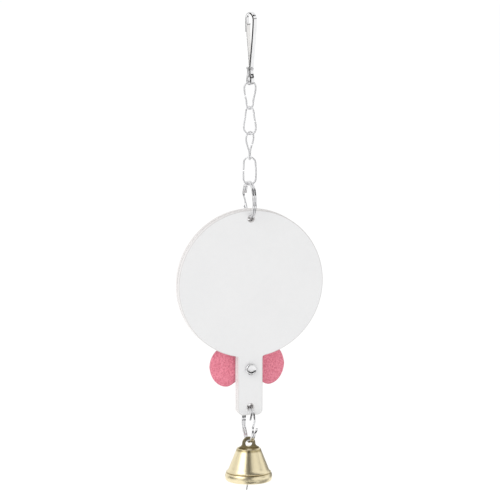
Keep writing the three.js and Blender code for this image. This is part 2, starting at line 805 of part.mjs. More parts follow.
function mirrorPanel() {
  const panel = bodyAt(0, 0, 0);
  const discCentre = -coilRest - upperHoleRise;
  const sheets = bodyAt(0, 0, discCentre);
  const shape = mirrorShape();
  sheets.add(piece("back_plate", sheet(shape, backFace, foilBack, SHEET_CHAMFER), whitePlastic()));
  sheets.add(piece("mirror_foil", sheet(shape, foilBack, foilFront), silverFoil()));
  sheets.add(piece("acrylic_front", sheet(shape, foilFront, frontFace, SHEET_CHAMFER), clearAcrylic()));
  const riveted = bodyAt(0, 0, -rivetDrop);
  riveted.add(piece("bow", bowGeometry(), pinkFelt()));
  riveted.add(piece("rivet_post", rivetPost(), nickel()));
  riveted.add(piece("rivet_cap", rivetCap(), nickel()));
  sheets.add(riveted);
  const ring = lowerRing();
  ring.position.z = -lowerHoleDrop - coilRest;
  sheets.add(ring);
  panel.add(sheets);
  return panel;
}

function lowerRing() {
  const group = bodyAt(0, 0, 0);
  const ring = splitRing(LOWER_RING_JOGGLE_AT).translate(0, 0, -ringRadius);
  group.add(piece("lower_split_ring", ring, nickel()));
  const hung = bell();
  hung.position.z = -2 * ringRadius;
  group.add(hung);
  return group;
}

function bell() {
  const group = bodyAt(0, 0, 0);
  const earDrop = drop(ringRadius, EAR_THICKNESS / 2);
  const rest = restHeight(EAR_HOLE / 2, RING_WIRE / 2, ringLayer, HOLE_SEAT_GAP) - earDrop;
  const crown = bodyAt(0, 0, -rest - EAR_RISE);
  crown.add(piece("bell_shell", bellShell(), paleBrass()));
  crown.add(piece("bell_ear", bellEar(), paleBrass()));
  const clapper = bodyAt(0, 0, clapperSeat);
  clapper.add(piece("clapper_wire", clapperWire(), springSteel()));
  const ball = piece("clapper_ball", clapperBall(), springSteel());
  ball.position.z = -CLAPPER_BALL_DROP;
  clapper.add(ball);
  crown.add(clapper);
  group.add(crown);
  return group;
}

for (const joggleAt of [UPPER_RING_JOGGLE_AT, LOWER_RING_JOGGLE_AT])
  console.log("split ring, least gap to itself in mm:", leastRingGap(joggleAt).toFixed(3));

const birdMirror = new THREE.Group();
birdMirror.add(hook());
birdMirror.add(chain(mirrorPanel()));

export default birdMirror;
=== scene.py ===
import bmesh
import bpy
import numpy as np
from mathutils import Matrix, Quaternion, Vector
from mathutils.geometry import tessellate_polygon


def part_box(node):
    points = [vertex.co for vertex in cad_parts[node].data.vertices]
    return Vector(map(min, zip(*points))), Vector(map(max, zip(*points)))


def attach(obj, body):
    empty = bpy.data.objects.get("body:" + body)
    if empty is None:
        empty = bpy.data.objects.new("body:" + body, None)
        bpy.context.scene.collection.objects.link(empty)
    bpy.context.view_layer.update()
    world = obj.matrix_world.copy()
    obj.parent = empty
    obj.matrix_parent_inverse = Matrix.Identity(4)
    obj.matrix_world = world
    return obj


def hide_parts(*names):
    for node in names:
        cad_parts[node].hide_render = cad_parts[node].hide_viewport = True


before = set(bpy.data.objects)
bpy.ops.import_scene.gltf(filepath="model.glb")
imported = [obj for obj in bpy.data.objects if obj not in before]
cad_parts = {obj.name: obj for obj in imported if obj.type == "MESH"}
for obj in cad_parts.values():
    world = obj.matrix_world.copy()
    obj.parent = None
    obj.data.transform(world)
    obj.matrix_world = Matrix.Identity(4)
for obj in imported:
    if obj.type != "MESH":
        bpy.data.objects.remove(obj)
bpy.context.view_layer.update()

# A hanging bird mirror, dressed piece by piece over its solids, in millimetres and degrees
MM = 0.001

# Snap hook and gate
HOOK_TURN = -67
STRIP_WIDTH = 2.1
STRIP_THICKNESS = 1.2
STRIP_NOSE_ROUND = 0.58
STRIP_LEG_ROUND = 0.15
STRIP_END_ROUND = 0.3
STRIP_CRISP_FROM = 1.5
MOUTH_WIDTH = 5.25
ARCH_OFFSET = 0.5
NOSE_LENGTH = 7.6
LEG_LENGTH = 25.8
NECK_LENGTH = 1.9
EYE_DROP = 5.9
EYE_BORE = 2.4
FIT_GAP = 0.25
GATE_THICKNESS = 0.4
GATE_ROOT_WIDTH = 1.5
GATE_TIP_WIDTH = 2.8
GATE_TIP_CORNER = 0.5
GATE_NOSE_OVERLAP = 5.0
GATE_LIP_LENGTH = 1.3
GATE_LIP_LEAN = 0.5
GATE_RIVET_DIAMETER = 0.8
GATE_RIVET_HEAD = 1.7
GATE_RIVET_HEIGHT = 0.45
GATE_RIVET_FLANGE = 0.1
GATE_SQUARENESS = 8
GATE_END_ROUND = 0.02

# Chain links and split rings
LINK_WIRE = 1.0
LINK_LENGTH = 15.9
LINK_WIDTH = 7.7
LINK_TWIST = 32
LINK_BUTT_GAP = 0.45
LINK_CROSSING = 72
FIRST_LINK_TURN = 9.6
WIRE_END_ROUND = 0.1
RING_DIAMETER = 20.4
RING_WIRE = 1.05
RING_LAYER_GAP = 0.12
RING_SQUARENESS = 8
RING_ROLL_START = 0.5
RING_ROLL_FULL = 0.8
RING_ROLL_FADE = 0.1
RING_END_ROUND = 0.12
RING_END_TRIM = 0.7
UPPER_JOGGLE = {"at": 98, "length": 40, "flare": 0.05, "rolled_above": 0.05}
LOWER_JOGGLE = {"at": 280, "length": 24, "flare": 1.1, "rolled_above": -1.5}

# Mirror sheets, bow and rivet
HANDLE_WIDTH = 13.5
HANDLE_END = 71.5
HANDLE_CORNER = 2.9
HANDLE_FILLET = 1.3
SHEET_ROUND = 0.5
FOIL_ROUND = 0.04
AIR_FILM = 0.06
UPPER_HOLE_RISE = 35.3
LOWER_HOLE_DROP = 67.0
RIVET_DROP = 46.5
RING_HOLE = 3.4
RIVET_SHANK = 2.4
RIVET_HEAD = 5.8
RIVET_FLANGE = 0.5
RIVET_DOME = 1.0
RIVET_SQUARENESS = 5
RIVET_CAP_GRIP = 0.5
BOW_LOBE_CENTRE = 11.7
BOW_LOBE_REACH = 8.8
BOW_LOBE_HALF_HEIGHT = 10.9
BOW_WAIST_HALF_HEIGHT = 4.4
BOW_FELT = 2.2
BOW_CURL = 1.4
BOW_GATHER_DEPTH = 0.45
BOW_GATHER_REACH = 6.5
BOW_GATHERS = 3
BOW_TILT = 0.5
BOW_SHIFT = 0.6
BOW_RISE = 0.5
BOW_SEAT_GAP = 0.3
BOW_FACE_POWER = 0.42
BOW_MATTING = 0.06
BOW_RIM_START = 0.92
BOW_DRILL_REACH = 30

# Bell and clapper
BELL_CROWN_RADIUS = 6.5
BELL_CROWN_ROUND = 0.6
BELL_CONE_RADIUS = 10.2
BELL_CONE_HEIGHT = 9.9
BELL_RIM_RADIUS = 12.6
BELL_RIM_SWELL = 0.6
BELL_RIM_BAND = 4.5
BELL_RIM_GROOVE = 0.3
BELL_HEIGHT = 17.5
BELL_WALL = 0.8
# Painted dark reflection round the rim's groove; the crown, its edge, the cone's top and the inside are
# painted darker
GROOVE_DARK_REFLECTION = 0.8
GROOVE_DARK_REFLECTION_WIDTH = 0.42
CROWN_DARKENING = 0.35
CONE_TOP_DARKENING = (1, 0.6, 0.2)
INSIDE_DARKENING = 0.6
EAR_THICKNESS = 1.0
EAR_RADIUS = 3.6
EAR_RISE = 2.6
EAR_HOLE = 3.8
EAR_FOOT_WIDTH = 11.4
EAR_FOOT_HEIGHT = 0.4
EAR_ROUND = 0.15
# How much of the olive brown the ear's walls take; it is lighter than the ear's painted dark colour
EAR_WALL_TONE = 0.3
TANG_WIDTH = 4.0
TANG_LENGTH = 3.4
TANG_HOLE = 2.0
TANG_MARGIN = 0.9
CLAPPER_WIRE = 0.8
CLAPPER_EYE_RADIUS = 1.9
CLAPPER_EYE_TURN = (50, 290)
CLAPPER_NECK = 1.2
CLAPPER_BALL = 5.0
CLAPPER_BALL_DROP = 9.6
CLAPPER_TAIL = 7.4
CLAPPER_TAIL_LEAN = 1.1

# How finely the pieces are divided
HOOK_STEPS = 420
GATE_STEPS = 260
LINK_STEPS = 240
RING_STEPS = 560
BOW_STEPS = 180
EYE_STEPS = 70
CLAPPER_STEPS = 260
CORNER_STEPS = 7
WIRE_SIDES = 18
RING_SIDES = 24
GATE_SIDES = 24
BOW_SIDES = 96
GATE_RIVET_SIDES = 40
RIVET_SIDES = 72
BELL_SIDES = 144
BEAD_SIDES = 48
SHARP_ANGLE = 40


# Curves and surfaces

def arc(cx, cz, radius, start, end, count):
    """Points of a circle about (cx, cz), at equal angles from start to end in degrees."""
    angle = np.radians(np.linspace(start, end, count))
    return np.column_stack([cx + radius * np.cos(angle), cz + radius * np.sin(angle)])


def line(start, end, count=24):
    """Points at equal steps on a straight line."""
    t = np.linspace(0, 1, count)[:, None]
    return (1 - t) * np.array(start, float) + t * np.array(end, float)


def bezier(a, b, c, d, count=64):
    """Points of a cubic Bezier curve: the four corners weighted by (1-t)^3, 3t(1-t)^2, 3t^2(1-t)
    and t^3."""
    a, b, c, d = (np.array(p, float) for p in (a, b, c, d))
    t = np.linspace(0, 1, count)[:, None]
    return (1 - t) ** 3 * a + 3 * t * (1 - t) ** 2 * b + 3 * t ** 2 * (1 - t) * c + t ** 3 * d


def quadratic(a, b, c, count):
    """Points of a quadratic Bezier curve: the three corners weighted by (1-t)^2, 2t(1-t) and t^2."""
    a, b, c = (np.array(p, float) for p in (a, b, c))
    t = np.linspace(0, 1, count)[:, None]
    return (1 - t) ** 2 * a + 2 * t * (1 - t) * b + t ** 2 * c


def evenly(points, count):
    """The same polyline at equal steps of its own length."""
    step = np.linalg.norm(np.diff(points, axis=0), axis=1)
    points = points[np.concatenate([[True], step > 1e-9])]
    step = np.linalg.norm(np.diff(points, axis=0), axis=1)
    length = np.concatenate([[0], np.cumsum(step)])
    at = np.linspace(0, length[-1], count)
    return np.column_stack([np.interp(at, length, column) for column in points.T])


def smoothstep(value, low, high):
    """Runs from 0 at low to 1 at high as 3t^2 - 2t^3."""
    t = np.clip((value - low) / (high - low), 0, 1)
    return t * t * (3 - 2 * t)


def unit(vectors):
    """Each vector divided by its length."""
    return vectors / np.linalg.norm(vectors, axis=-1, keepdims=True)


def squared_circle(width, depth, power, count):
    """Outline where |x / half width|^power + |y / half depth|^power is 1, at equal angles."""
    angle = 2 * np.pi * (np.arange(count) + 0.5) / count
    c, s = np.cos(angle), np.sin(angle)
    x = width / 2 * np.sign(c) * np.abs(c) ** (2 / power)
    y = depth / 2 * np.sign(s) * np.abs(s) ** (2 / power)
    return np.column_stack([x, y])


def strip_section(width, thickness, rounding, steps=CORNER_STEPS):
    """A flat strip whose four corners are quarter circles."""
    w, t = width / 2 - rounding, thickness / 2 - rounding
    return np.vstack([arc(x, y, rounding, start, start + 90, steps)
                      for x, y, start in ((w, t, 0), (-w, t, 90), (-w, -t, 180), (w, -t, 270))])


def round_wire(diameter, count=WIRE_SIDES):
    """A circle of points."""
    return squared_circle(diameter, diameter, 2, count)


def grid_quads(rows, columns, closed_rows=False):
    """Quads between neighbouring rows of a grid whose columns close up, numbered row by row."""
    i = np.arange(rows if closed_rows else rows - 1)[:, None]
    j = np.arange(columns)[None, :]
    k = (j + 1) % columns
    n = (i + 1) % rows
    quads = np.broadcast_arrays(i * columns + j, i * columns + k, n * columns + k, n * columns + j)
    return np.stack(quads, -1).reshape(-1, 4)


def skin(rows, first, last):
    """Rows of points joined by quads, with a fan of triangles from a pole at either end."""
    count, columns = rows.shape[:2]
    points = np.vstack([rows.reshape(-1, 3), first, last])
    j = np.arange(columns)
    k = (j + 1) % columns
    pole = np.full(columns, count * columns)
    base = (count - 1) * columns
    fans = np.vstack([np.column_stack([pole, k, j]), np.column_stack([pole + 1, base + j, base + k])])
    return points, grid_quads(count, columns).tolist() + fans.tolist()


def swept(path, side, section, end_round, corners=0, steps=4):
    """A profile carried along a path. The profile's first axis is the side direction made square to
    the tangent, its second axis is square to both. Each end closes over a quarter ellipse that reaches
    end_round further. Gives points, faces and, per point, how much it lies on an edge."""
    tangent = unit(np.gradient(path, axis=0))
    side = np.broadcast_to(side, path.shape)
    side = unit(side - np.sum(side * tangent, axis=1, keepdims=True) * tangent)
    up = np.cross(tangent, side)
    section = np.broadcast_to(section, (len(path),) + section.shape[-2:])
    angle = np.linspace(0, np.pi / 2, steps + 1)[1:-1]
    pick = np.pad(np.arange(len(path)), steps - 1, mode="edge")
    shift = np.concatenate([-np.sin(angle[::-1]), np.zeros(len(path)), np.sin(angle)]) * end_round
    scale = np.concatenate([np.cos(angle[::-1]), np.ones(len(path)), np.cos(angle)])
    centre = path[pick] + shift[:, None] * tangent[pick]
    flat = section[pick] * scale[:, None, None]
    rows = centre[:, None] + flat[..., :1] * side[pick][:, None] + flat[..., 1:] * up[pick][:, None]
    points, faces = skin(rows, path[0] - end_round * tangent[0], path[-1] + end_round * tangent[-1])
    worn = np.zeros(rows.shape[:2]) + corners
    worn[scale < 1] = 1
    return points, faces, np.concatenate([worn.ravel(), [1, 1]])


def turned(profile, segments, worn=0):
    """A profile of radius and height turned about Z. It closes at poles where it starts and ends on the
    axis, and otherwise on itself. Gives points, faces and the edge values that the profile carries."""
    angle = 2 * np.pi * np.arange(segments) / segments
    worn = np.zeros(len(profile)) + worn
    poles = profile[0, 0] < 1e-9
    ring = profile[1:-1] if poles else profile
    edge = worn[1:-1] if poles else worn
    height = np.broadcast_to(ring[:, 1:], (len(ring), segments))
    rows = np.stack([ring[:, :1] * np.cos(angle), ring[:, :1] * np.sin(angle), height], -1)
    edges = np.repeat(edge, segments)
    if poles:
        points, faces = skin(rows, [0, 0, profile[0, 1]], [0, 0, profile[-1, 1]])
        return points, faces, np.concatenate([edges, [worn[0], worn[-1]]])
    return rows.reshape(-1, 3), grid_quads(len(ring), segments, True).tolist(), edges


def cut_sheet(loops, near, far, edge_round, steps=4):
    """A flat piece between two depths along Y. Its loops run round the material on their left, in X and
    Z. Its edges are rounded: over a quarter circle the loop moves in by the round's radius as the depth
    reaches the face. The two faces are filled between the loops. Gives points, faces, values that are 1
    on the walls and 0 on the faces, and the number of flat faces."""
    angle = np.linspace(0, np.pi / 2, steps + 1)
    inset = edge_round * (1 - np.sin(angle))
    depth = edge_round * (1 - np.cos(angle))
    inset = np.concatenate([inset, inset[::-1]])
    depth = np.concatenate([near + depth, far - depth[::-1]])
    wall = np.sin(angle)
    wall = np.concatenate([wall, wall[::-1]])
    points, faces, edges, first, last, base = [], [], [], [], [], 0
    for loop in loops:
        along = unit(np.roll(loop, -1, axis=0) - np.roll(loop, 1, axis=0))
        away = np.column_stack([along[:, 1], -along[:, 0]])
        flat = loop[None] - inset[:, None, None] * away[None]
        rows = np.stack([flat[..., 0], np.broadcast_to(depth[:, None], flat.shape[:2]), flat[..., 1]], -1)
        faces.append(grid_quads(len(rows), len(loop)) + base)
        first.append(np.arange(len(loop)) + base)
        last.append(np.arange(len(loop)) + base + (len(rows) - 1) * len(loop))
        points.append(rows.reshape(-1, 3))
        edges.append(np.repeat(wall, len(loop)))
        base += rows.shape[0] * rows.shape[1]
    points = np.vstack(points)
    rings = [[Vector((x, z, 0)) for x, _, z in points[ring]] for ring in first]
    fill = np.array(tessellate_polygon(rings))
    caps = np.concatenate([np.concatenate(first)[fill], np.concatenate(last)[fill[:, ::-1]]])
    return points, np.vstack(faces).tolist() + caps.tolist(), np.concatenate(edges), len(caps)


def turn_z(points, degrees):
    """Points turned about Z."""
    angle = np.radians(degrees)
    c, s = np.cos(angle), np.sin(angle)
    return points @ np.array([[c, s, 0], [-s, c, 0], [0, 0, 1]])


def low(node):
    """Lowest corner of a solid in millimetres."""
    return np.array(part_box(node)[0]) / MM


def high(node):
    """Highest corner of a solid in millimetres."""
    return np.array(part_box(node)[1]) / MM


# Putting pieces in place

def outward(mesh):
    """Turns a closed mesh's faces outwards."""
    shape = bmesh.new()
    shape.from_mesh(mesh)
    bmesh.ops.recalc_face_normals(shape, faces=shape.faces)
    shape.to_mesh(mesh)
    shape.free()


def linked(name, data):
    """An object of the scene that shows a mesh, a lamp or a camera."""
    obj = bpy.data.objects.new(name, data)
    bpy.context.scene.collection.objects.link(obj)
    return obj


def dress(name, points, faces, edges, body, slot, material, *nodes, flat=0, sharp=SHARP_ANGLE):
    """Makes a mesh object of points in millimetres, with faces outwards and an edge attribute. It rides
    on a body and stands for solids. The last flat faces stay flat, the others are smooth up to the sharp
    angle."""
    mesh = bpy.data.meshes.new(name)
    mesh.from_pydata((points * MM).tolist(), [], faces)
    smooth = np.ones(len(faces), bool)
    smooth[len(faces) - flat:] = False
    mesh.polygons.foreach_set("use_smooth", smooth)
    edge = mesh.attributes.new("edge", "FLOAT", "POINT")
    edge.data.foreach_set("value", edges.astype(np.float32))
    outward(mesh)
    if not flat:
        mesh.set_sharp_from_angle(angle=np.radians(sharp))
    mesh.materials.append(material)
    obj = linked(name, mesh)
    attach(obj, body)
    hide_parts(*nodes)
    return obj


def drill(obj, start, end, diameter, segments=32):
    """Cuts a round hole between two points in millimetres: a cylinder is taken away and the mesh is kept
    as cut."""
    start, end = np.array(start, float), np.array(end, float)
    way = unit(end - start)
    side = np.cross(way, [0, 0, 1] if abs(way[2]) < 0.9 else [1, 0, 0])
    points, faces, _ = swept(line(start, end, 2), side, round_wire(diameter, segments), 0.01)
    mesh = bpy.data.meshes.new("hole")
    mesh.from_pydata((points * MM).tolist(), [], faces)
    outward(mesh)
    tool = linked("hole", mesh)
    cut = obj.modifiers.new("hole", "BOOLEAN")
    cut.operation = "DIFFERENCE"
    cut.solver = "EXACT"
    cut.object = tool
    bpy.context.view_layer.update()
    whole = obj.data
    cut_obj = obj.evaluated_get(bpy.context.evaluated_depsgraph_get())
    obj.data = bpy.data.meshes.new_from_object(cut_obj)
    obj.modifiers.clear()
    obj.data.set_sharp_from_angle(angle=np.radians(SHARP_ANGLE))
    obj.data.name = obj.name
    bpy.data.objects.remove(tool)
    bpy.data.meshes.remove(mesh)
    bpy.data.meshes.remove(whole)


# Nodes of the finishes

def node(tree, kind, inputs=None, **settings):
    """Adds a node with its settings. An input's value is a number, a colour or another node's output."""
    made = tree.nodes.new(kind)
    for key, value in settings.items():
        setattr(made, key, value)
    for key, value in (inputs or {}).items():
        if isinstance(value, bpy.types.NodeSocket):
            tree.links.new(value, made.inputs[key])
        else:
            made.inputs[key].default_value = value
    return made


def group(name, inputs, outputs):
    """Starts a shader node group with named sockets. Gives the group, its input and its output node."""
    tree = bpy.data.node_groups.new(name, "ShaderNodeTree")
    for label, kind in inputs:
        tree.interface.new_socket(label, in_out="INPUT", socket_type=kind)
    for label, kind in outputs:
        tree.interface.new_socket(label, in_out="OUTPUT", socket_type=kind)
    return tree, tree.nodes.new("NodeGroupInput"), tree.nodes.new("NodeGroupOutput")


def math(tree, operation, a, b=0.0, c=0.0):
    """One step of arithmetic."""
    return node(tree, "ShaderNodeMath", {0: a, 1: b, 2: c}, operation=operation).outputs[0]


def span(tree, value, low_in, high_in, low_out=0.0, high_out=1.0):
    """A value mapped from one range to another and held within it."""
    inputs = {0: value, 1: low_in, 2: high_in, 3: low_out, 4: high_out}
    return node(tree, "ShaderNodeMapRange", inputs).outputs[0]


def noise(tree, vector, scale, detail=3.0, roughness=0.55):
    """A cloud of values round a half."""
    inputs = {"Vector": vector, "Scale": scale, "Detail": detail, "Roughness": roughness}
    return node(tree, "ShaderNodeTexNoise", inputs).outputs[0]


def blend_colours(tree, share, a, b):
    """Colour a where the share is 0, colour b where it is 1."""
    return node(tree, "ShaderNodeMix", {0: share, 6: a, 7: b}, data_type="RGBA").outputs[2]


VALUE = "NodeSocketFloat"
VECTOR = "NodeSocketVector"
PLASTIC_IOR = 1.49


def film_group():
    """Cloudy handling marks: a broad cloud and a fine one, weighed two to one."""
    tree, given, out = group("cloudy film", [("Vector", VECTOR), ("Scale", VALUE)], [("Film", VALUE)])
    broad = noise(tree, given.outputs["Vector"], given.outputs["Scale"])
    fine = noise(tree, given.outputs["Vector"], math(tree, "MULTIPLY", given.outputs["Scale"], 6.5))
    both = math(tree, "MULTIPLY_ADD", broad, 0.667, math(tree, "MULTIPLY", fine, 0.333))
    tree.links.new(span(tree, both, 0.35, 0.65), out.inputs["Film"])
    return tree


def hairline_group():
    """Hairline scratches in two directions: stretched clouds of which only the crests are kept."""
    tree, given, out = group("hairlines", [("Vector", VECTOR), ("Scale", VALUE)], [("Lines", VALUE)])
    crests = []
    for turn, stretch in ((0.5, (1, 1, 0.06)), (-0.7, (1, 0.06, 1))):
        laid = node(tree, "ShaderNodeMapping", {
            "Vector": given.outputs["Vector"], "Rotation": (turn, turn, 0), "Scale": stretch}).outputs[0]
        cloud = noise(tree, laid, given.outputs["Scale"], 1.0)
        crests.append(span(tree, cloud, 0.66, 0.74))
    tree.links.new(math(tree, "MAXIMUM", *crests), out.inputs["Lines"])
    return tree


def polish_group():
    """Edges rubbed bright: the edge value, broken up by a cloud."""
    taken = [("Edge", VALUE), ("Vector", VECTOR), ("Scale", VALUE)]
    tree, given, out = group("rubbed edges", taken, [("Rubbed", VALUE)])
    cloud = span(tree, noise(tree, given.outputs["Vector"], given.outputs["Scale"]), 0.4, 0.6)
    rubbed = math(tree, "MULTIPLY", given.outputs["Edge"], cloud)
    tree.links.new(rubbed, out.inputs["Rubbed"])
    return tree


FILM = film_group()
HAIRLINES = hairline_group()
POLISH = polish_group()


def placed(tree, shared, where, scale, **more):
    """A shared group placed in a material, which gives the group's output."""
    inputs = {"Vector": where, "Scale": scale, **more}
    return node(tree, "ShaderNodeGroup", inputs, node_tree=shared).outputs[0]


def finish_start(name, **plain):
    """A material with its shader, whose plain values are set on the shader's own sockets. Gives the
    material, its tree, the shader, Object coordinates and the edge value."""
    material = bpy.data.materials.new(name)
    material.use_nodes = True
    tree = material.node_tree
    shader = tree.nodes["Principled BSDF"]
    for key, value in plain.items():
        shader.inputs[key.replace("_", " ")].default_value = value
    where = node(tree, "ShaderNodeTexCoord").outputs["Object"]
    edge = node(tree, "ShaderNodeAttribute", attribute_name="edge").outputs["Fac"]
    return material, tree, shader, where, edge


def coat(tree, shader, colour, rough):
    """Colour and roughness of the shader."""
    tree.links.new(colour, shader.inputs["Base Color"])
    tree.links.new(rough, shader.inputs["Roughness"])


def bump(tree, shader, height, strength, distance):
    """Relief on the shader's normal; the distance is in millimetres."""
    inputs = {"Height": height, "Strength": strength, "Distance": distance * MM}
    tree.links.new(node(tree, "ShaderNodeBump", inputs).outputs[0], shader.inputs["Normal"])


def plated_metal(name, dull, bright, rough, film_scale, line_scale):
    """Plated or drawn metal: a cloudy film dulls colour and gloss, hairlines scatter, edges are rubbed
    bright."""
    material, tree, shader, where, edge = finish_start(name, Metallic=1.0)
    film = placed(tree, FILM, where, film_scale)
    lines = placed(tree, HAIRLINES, where, line_scale)
    rubbed = placed(tree, POLISH, where, film_scale, Edge=edge)
    colour = blend_colours(tree, film, (*bright, 1), (*dull, 1))
    colour = blend_colours(tree, rubbed, colour, (0.93, 0.93, 0.93, 1))
    gloss = span(tree, film, 0, 1, *rough)
    coat(tree, shader, colour, math(tree, "MULTIPLY_ADD", lines, 0.1, gloss))
    bump(tree, shader, lines, 0.25, 0.01)
    return material


def pale_gold(name, bright, dull):
    """Spun, satin pale gold: rings of fine relief round the axis, a warm tarnish in clouds, and a dull
    olive brown where the piece's own edge value says, which on the bell is a painted dark reflection
    round the groove."""
    material, tree, shader, where, edge = finish_start(name, Metallic=1.0)
    split = node(tree, "ShaderNodeSeparateXYZ", {0: where})
    spun = node(tree, "ShaderNodeCombineXYZ", {2: split.outputs[2]}).outputs[0]
    rings = noise(tree, spun, 5200.0, 2.0)
    film = placed(tree, FILM, where, 80.0)
    lines = placed(tree, HAIRLINES, where, 2600.0)
    colour = blend_colours(tree, film, (*bright, 1), (*dull, 1))
    # Olive brown by the edge value: painted dark reflection round the bell's groove, darker crown edge
    # and inside
    colour = blend_colours(tree, math(tree, "MULTIPLY", edge, 0.8), colour, (0.40, 0.32, 0.15, 1))
    gloss = math(tree, "MULTIPLY_ADD", lines, 0.05, span(tree, film, 0, 1, 0.26, 0.31))
    coat(tree, shader, colour, math(tree, "MULTIPLY_ADD", rings, 0.04, gloss))
    bump(tree, shader, math(tree, "ADD", rings, lines), 0.05, 0.01)
    return material


def white_sheet():
    """Satin white sheet plastic: a faint cloud and specks in the colour, a fine peel, warmer sawn walls
    and a fine painted shade line where the face rounds over into the wall."""
    material, tree, shader, where, edge = finish_start("white_sheet", IOR=PLASTIC_IOR)
    film = placed(tree, FILM, where, 45.0)
    specks = span(tree, noise(tree, where, 2400.0, 2.0), 0.62, 0.75)
    colour = blend_colours(tree, film, (0.845, 0.845, 0.847, 1), (0.825, 0.826, 0.829, 1))
    colour = blend_colours(tree, math(tree, "MULTIPLY", specks, 0.35), colour, (0.74, 0.74, 0.745, 1))
    colour = blend_colours(tree, math(tree, "MULTIPLY", edge, 0.8), colour, (0.80, 0.772, 0.76, 1))
    # Painted shade: a fine darker line where the face rounds over into the wall
    rim = math(tree, "MULTIPLY", edge, math(tree, "SUBTRACT", 1.0, edge))
    colour = blend_colours(tree, math(tree, "MULTIPLY", rim, 3.4), colour, (0.64, 0.63, 0.62, 1))
    coat(tree, shader, colour, span(tree, film, 0, 1, 0.42, 0.55))
    bump(tree, shader, noise(tree, where, 1500.0, 2.0), 0.10, 0.03)
    return material


def clear_sheet():
    """Clear acrylic: nearly colourless and polished, with hairlines. Its sawn walls are frosted, so that
    they look pale and even: there a second, milky shader takes over."""
    material, tree, shader, where, edge = finish_start(
        "clear_sheet", IOR=PLASTIC_IOR, Transmission_Weight=1.0)
    lines = placed(tree, HAIRLINES, where, 900.0)
    film = placed(tree, FILM, where, 60.0)
    colour = blend_colours(tree, film, (0.985, 0.99, 0.988, 1), (0.965, 0.975, 0.972, 1))
    gloss = span(tree, film, 0, 1, 0.015, 0.035)
    coat(tree, shader, colour, math(tree, "MULTIPLY_ADD", lines, 0.06, gloss))
    sawn = noise(tree, where, 900.0)
    pale, dull = (0.84, 0.815, 0.805, 1), (0.78, 0.75, 0.74, 1)
    milky = blend_colours(tree, span(tree, sawn, 0.35, 0.65), pale, dull)
    frosted = node(tree, "ShaderNodeBsdfPrincipled", {"IOR": PLASTIC_IOR})
    coat(tree, frosted, milky, span(tree, sawn, 0.3, 0.7, 0.55, 0.75))
    walls = span(tree, edge, 0.1, 0.6)
    both = node(tree, "ShaderNodeMixShader", {0: walls, 1: shader.outputs[0], 2: frosted.outputs[0]})
    tree.links.new(both.outputs[0], tree.nodes["Material Output"].inputs["Surface"])
    return material


def mirror_coat():
    """Silvered foil: mirror bright with faint clouds and pin specks."""
    material, tree, shader, where, _ = finish_start("mirror_coat", Metallic=1.0)
    film = placed(tree, FILM, where, 70.0)
    specks = span(tree, noise(tree, where, 3200.0, 1.0), 0.72, 0.78)
    colour = blend_colours(tree, film, (0.93, 0.935, 0.94, 1), (0.90, 0.905, 0.915, 1))
    colour = blend_colours(tree, specks, colour, (0.72, 0.73, 0.74, 1))
    coat(tree, shader, colour, span(tree, film, 0, 1, 0.02, 0.05))
    return material


def pink_felt():
    """Pressed wool felt: matted fibres of lighter and darker pink, soft sheen, rough relief, and darker
    pink at the edges."""
    material, tree, shader, where, edge = finish_start(
        "pink_felt", Sheen_Weight=0.35, Sheen_Roughness=0.6, Specular_IOR_Level=0.15)
    clumps = noise(tree, where, 1150.0, 4.0, 0.65)
    offset = {0: where, 1: (0.0021, 0.0013, 0.0017)}
    moved = node(tree, "ShaderNodeVectorMath", offset, operation="ADD").outputs[0]
    fibres = node(tree, "ShaderNodeTexNoise", {
        "Vector": moved, "Scale": 2600.0, "Detail": 4.0, "Roughness": 0.7, "Distortion": 1.6}).outputs[0]
    light, dark = (0.95, 0.315, 0.41, 1), (0.655, 0.14, 0.208, 1)
    fibre_pink, edge_pink = (0.97, 0.47, 0.55, 1), (0.58, 0.15, 0.215, 1)
    colour = blend_colours(tree, span(tree, clumps, 0.36, 0.64), dark, light)
    colour = blend_colours(tree, span(tree, fibres, 0.55, 0.72, 0, 0.5), colour, fibre_pink)
    colour = blend_colours(tree, math(tree, "MULTIPLY", edge, 0.4), colour, edge_pink)
    coat(tree, shader, colour, span(tree, fibres, 0.3, 0.7, 0.98, 0.85))
    bump(tree, shader, math(tree, "MULTIPLY_ADD", clumps, 1.5, fibres), 0.7, 0.16)
    return material


NICKEL = plated_metal("bright_nickel", (0.80, 0.80, 0.81), (0.88, 0.88, 0.885), (0.05, 0.12), 240, 2800)
STEEL = plated_metal("spring_steel", (0.78, 0.765, 0.75), (0.88, 0.87, 0.855), (0.12, 0.22), 260, 3400)
WIRE = plated_metal("nickel_wire", (0.78, 0.78, 0.79), (0.85, 0.85, 0.86), (0.50, 0.58), 240, 2800)
RING = plated_metal("ring_nickel", (0.70, 0.70, 0.71), (0.82, 0.82, 0.83), (0.06, 0.12), 240, 2800)
GOLD = pale_gold("pale_gold", (0.90, 0.80, 0.55), (0.87, 0.765, 0.505))
# The ear's pale gold painted dark, standing for the dark reflection on its flat faces
EAR_GOLD_PAINTED_DARK = pale_gold("ear_gold_painted_dark", (0.28, 0.24, 0.15), (0.23, 0.195, 0.115))
WHITE = white_sheet()
CLEAR = clear_sheet()
SILVER = mirror_coat()
FELT = pink_felt()


# Snap hook

ARCH_RADIUS = (MOUTH_WIDTH + STRIP_THICKNESS) / 2
ARCH_HEIGHT = -MOUTH_WIDTH / 2
NECK_HALF = STRIP_THICKNESS / 2 + FIT_GAP + GATE_THICKNESS / 2
NECK_TOP = ARCH_HEIGHT - LEG_LENGTH
NECK_BOTTOM = NECK_TOP - NECK_LENGTH
NECK_MIDDLE = (NECK_TOP + NECK_BOTTOM) / 2
EYE_RADIUS = (EYE_BORE + STRIP_THICKNESS) / 2
EYE_HEIGHT = NECK_BOTTOM - EYE_DROP


def upright(flat):
    """Flat points stood up in the X-Z plane and turned to the hook's plane."""
    return turn_z(np.column_stack([flat[:, 0], np.zeros(len(flat)), flat[:, 1]]), HOOK_TURN)


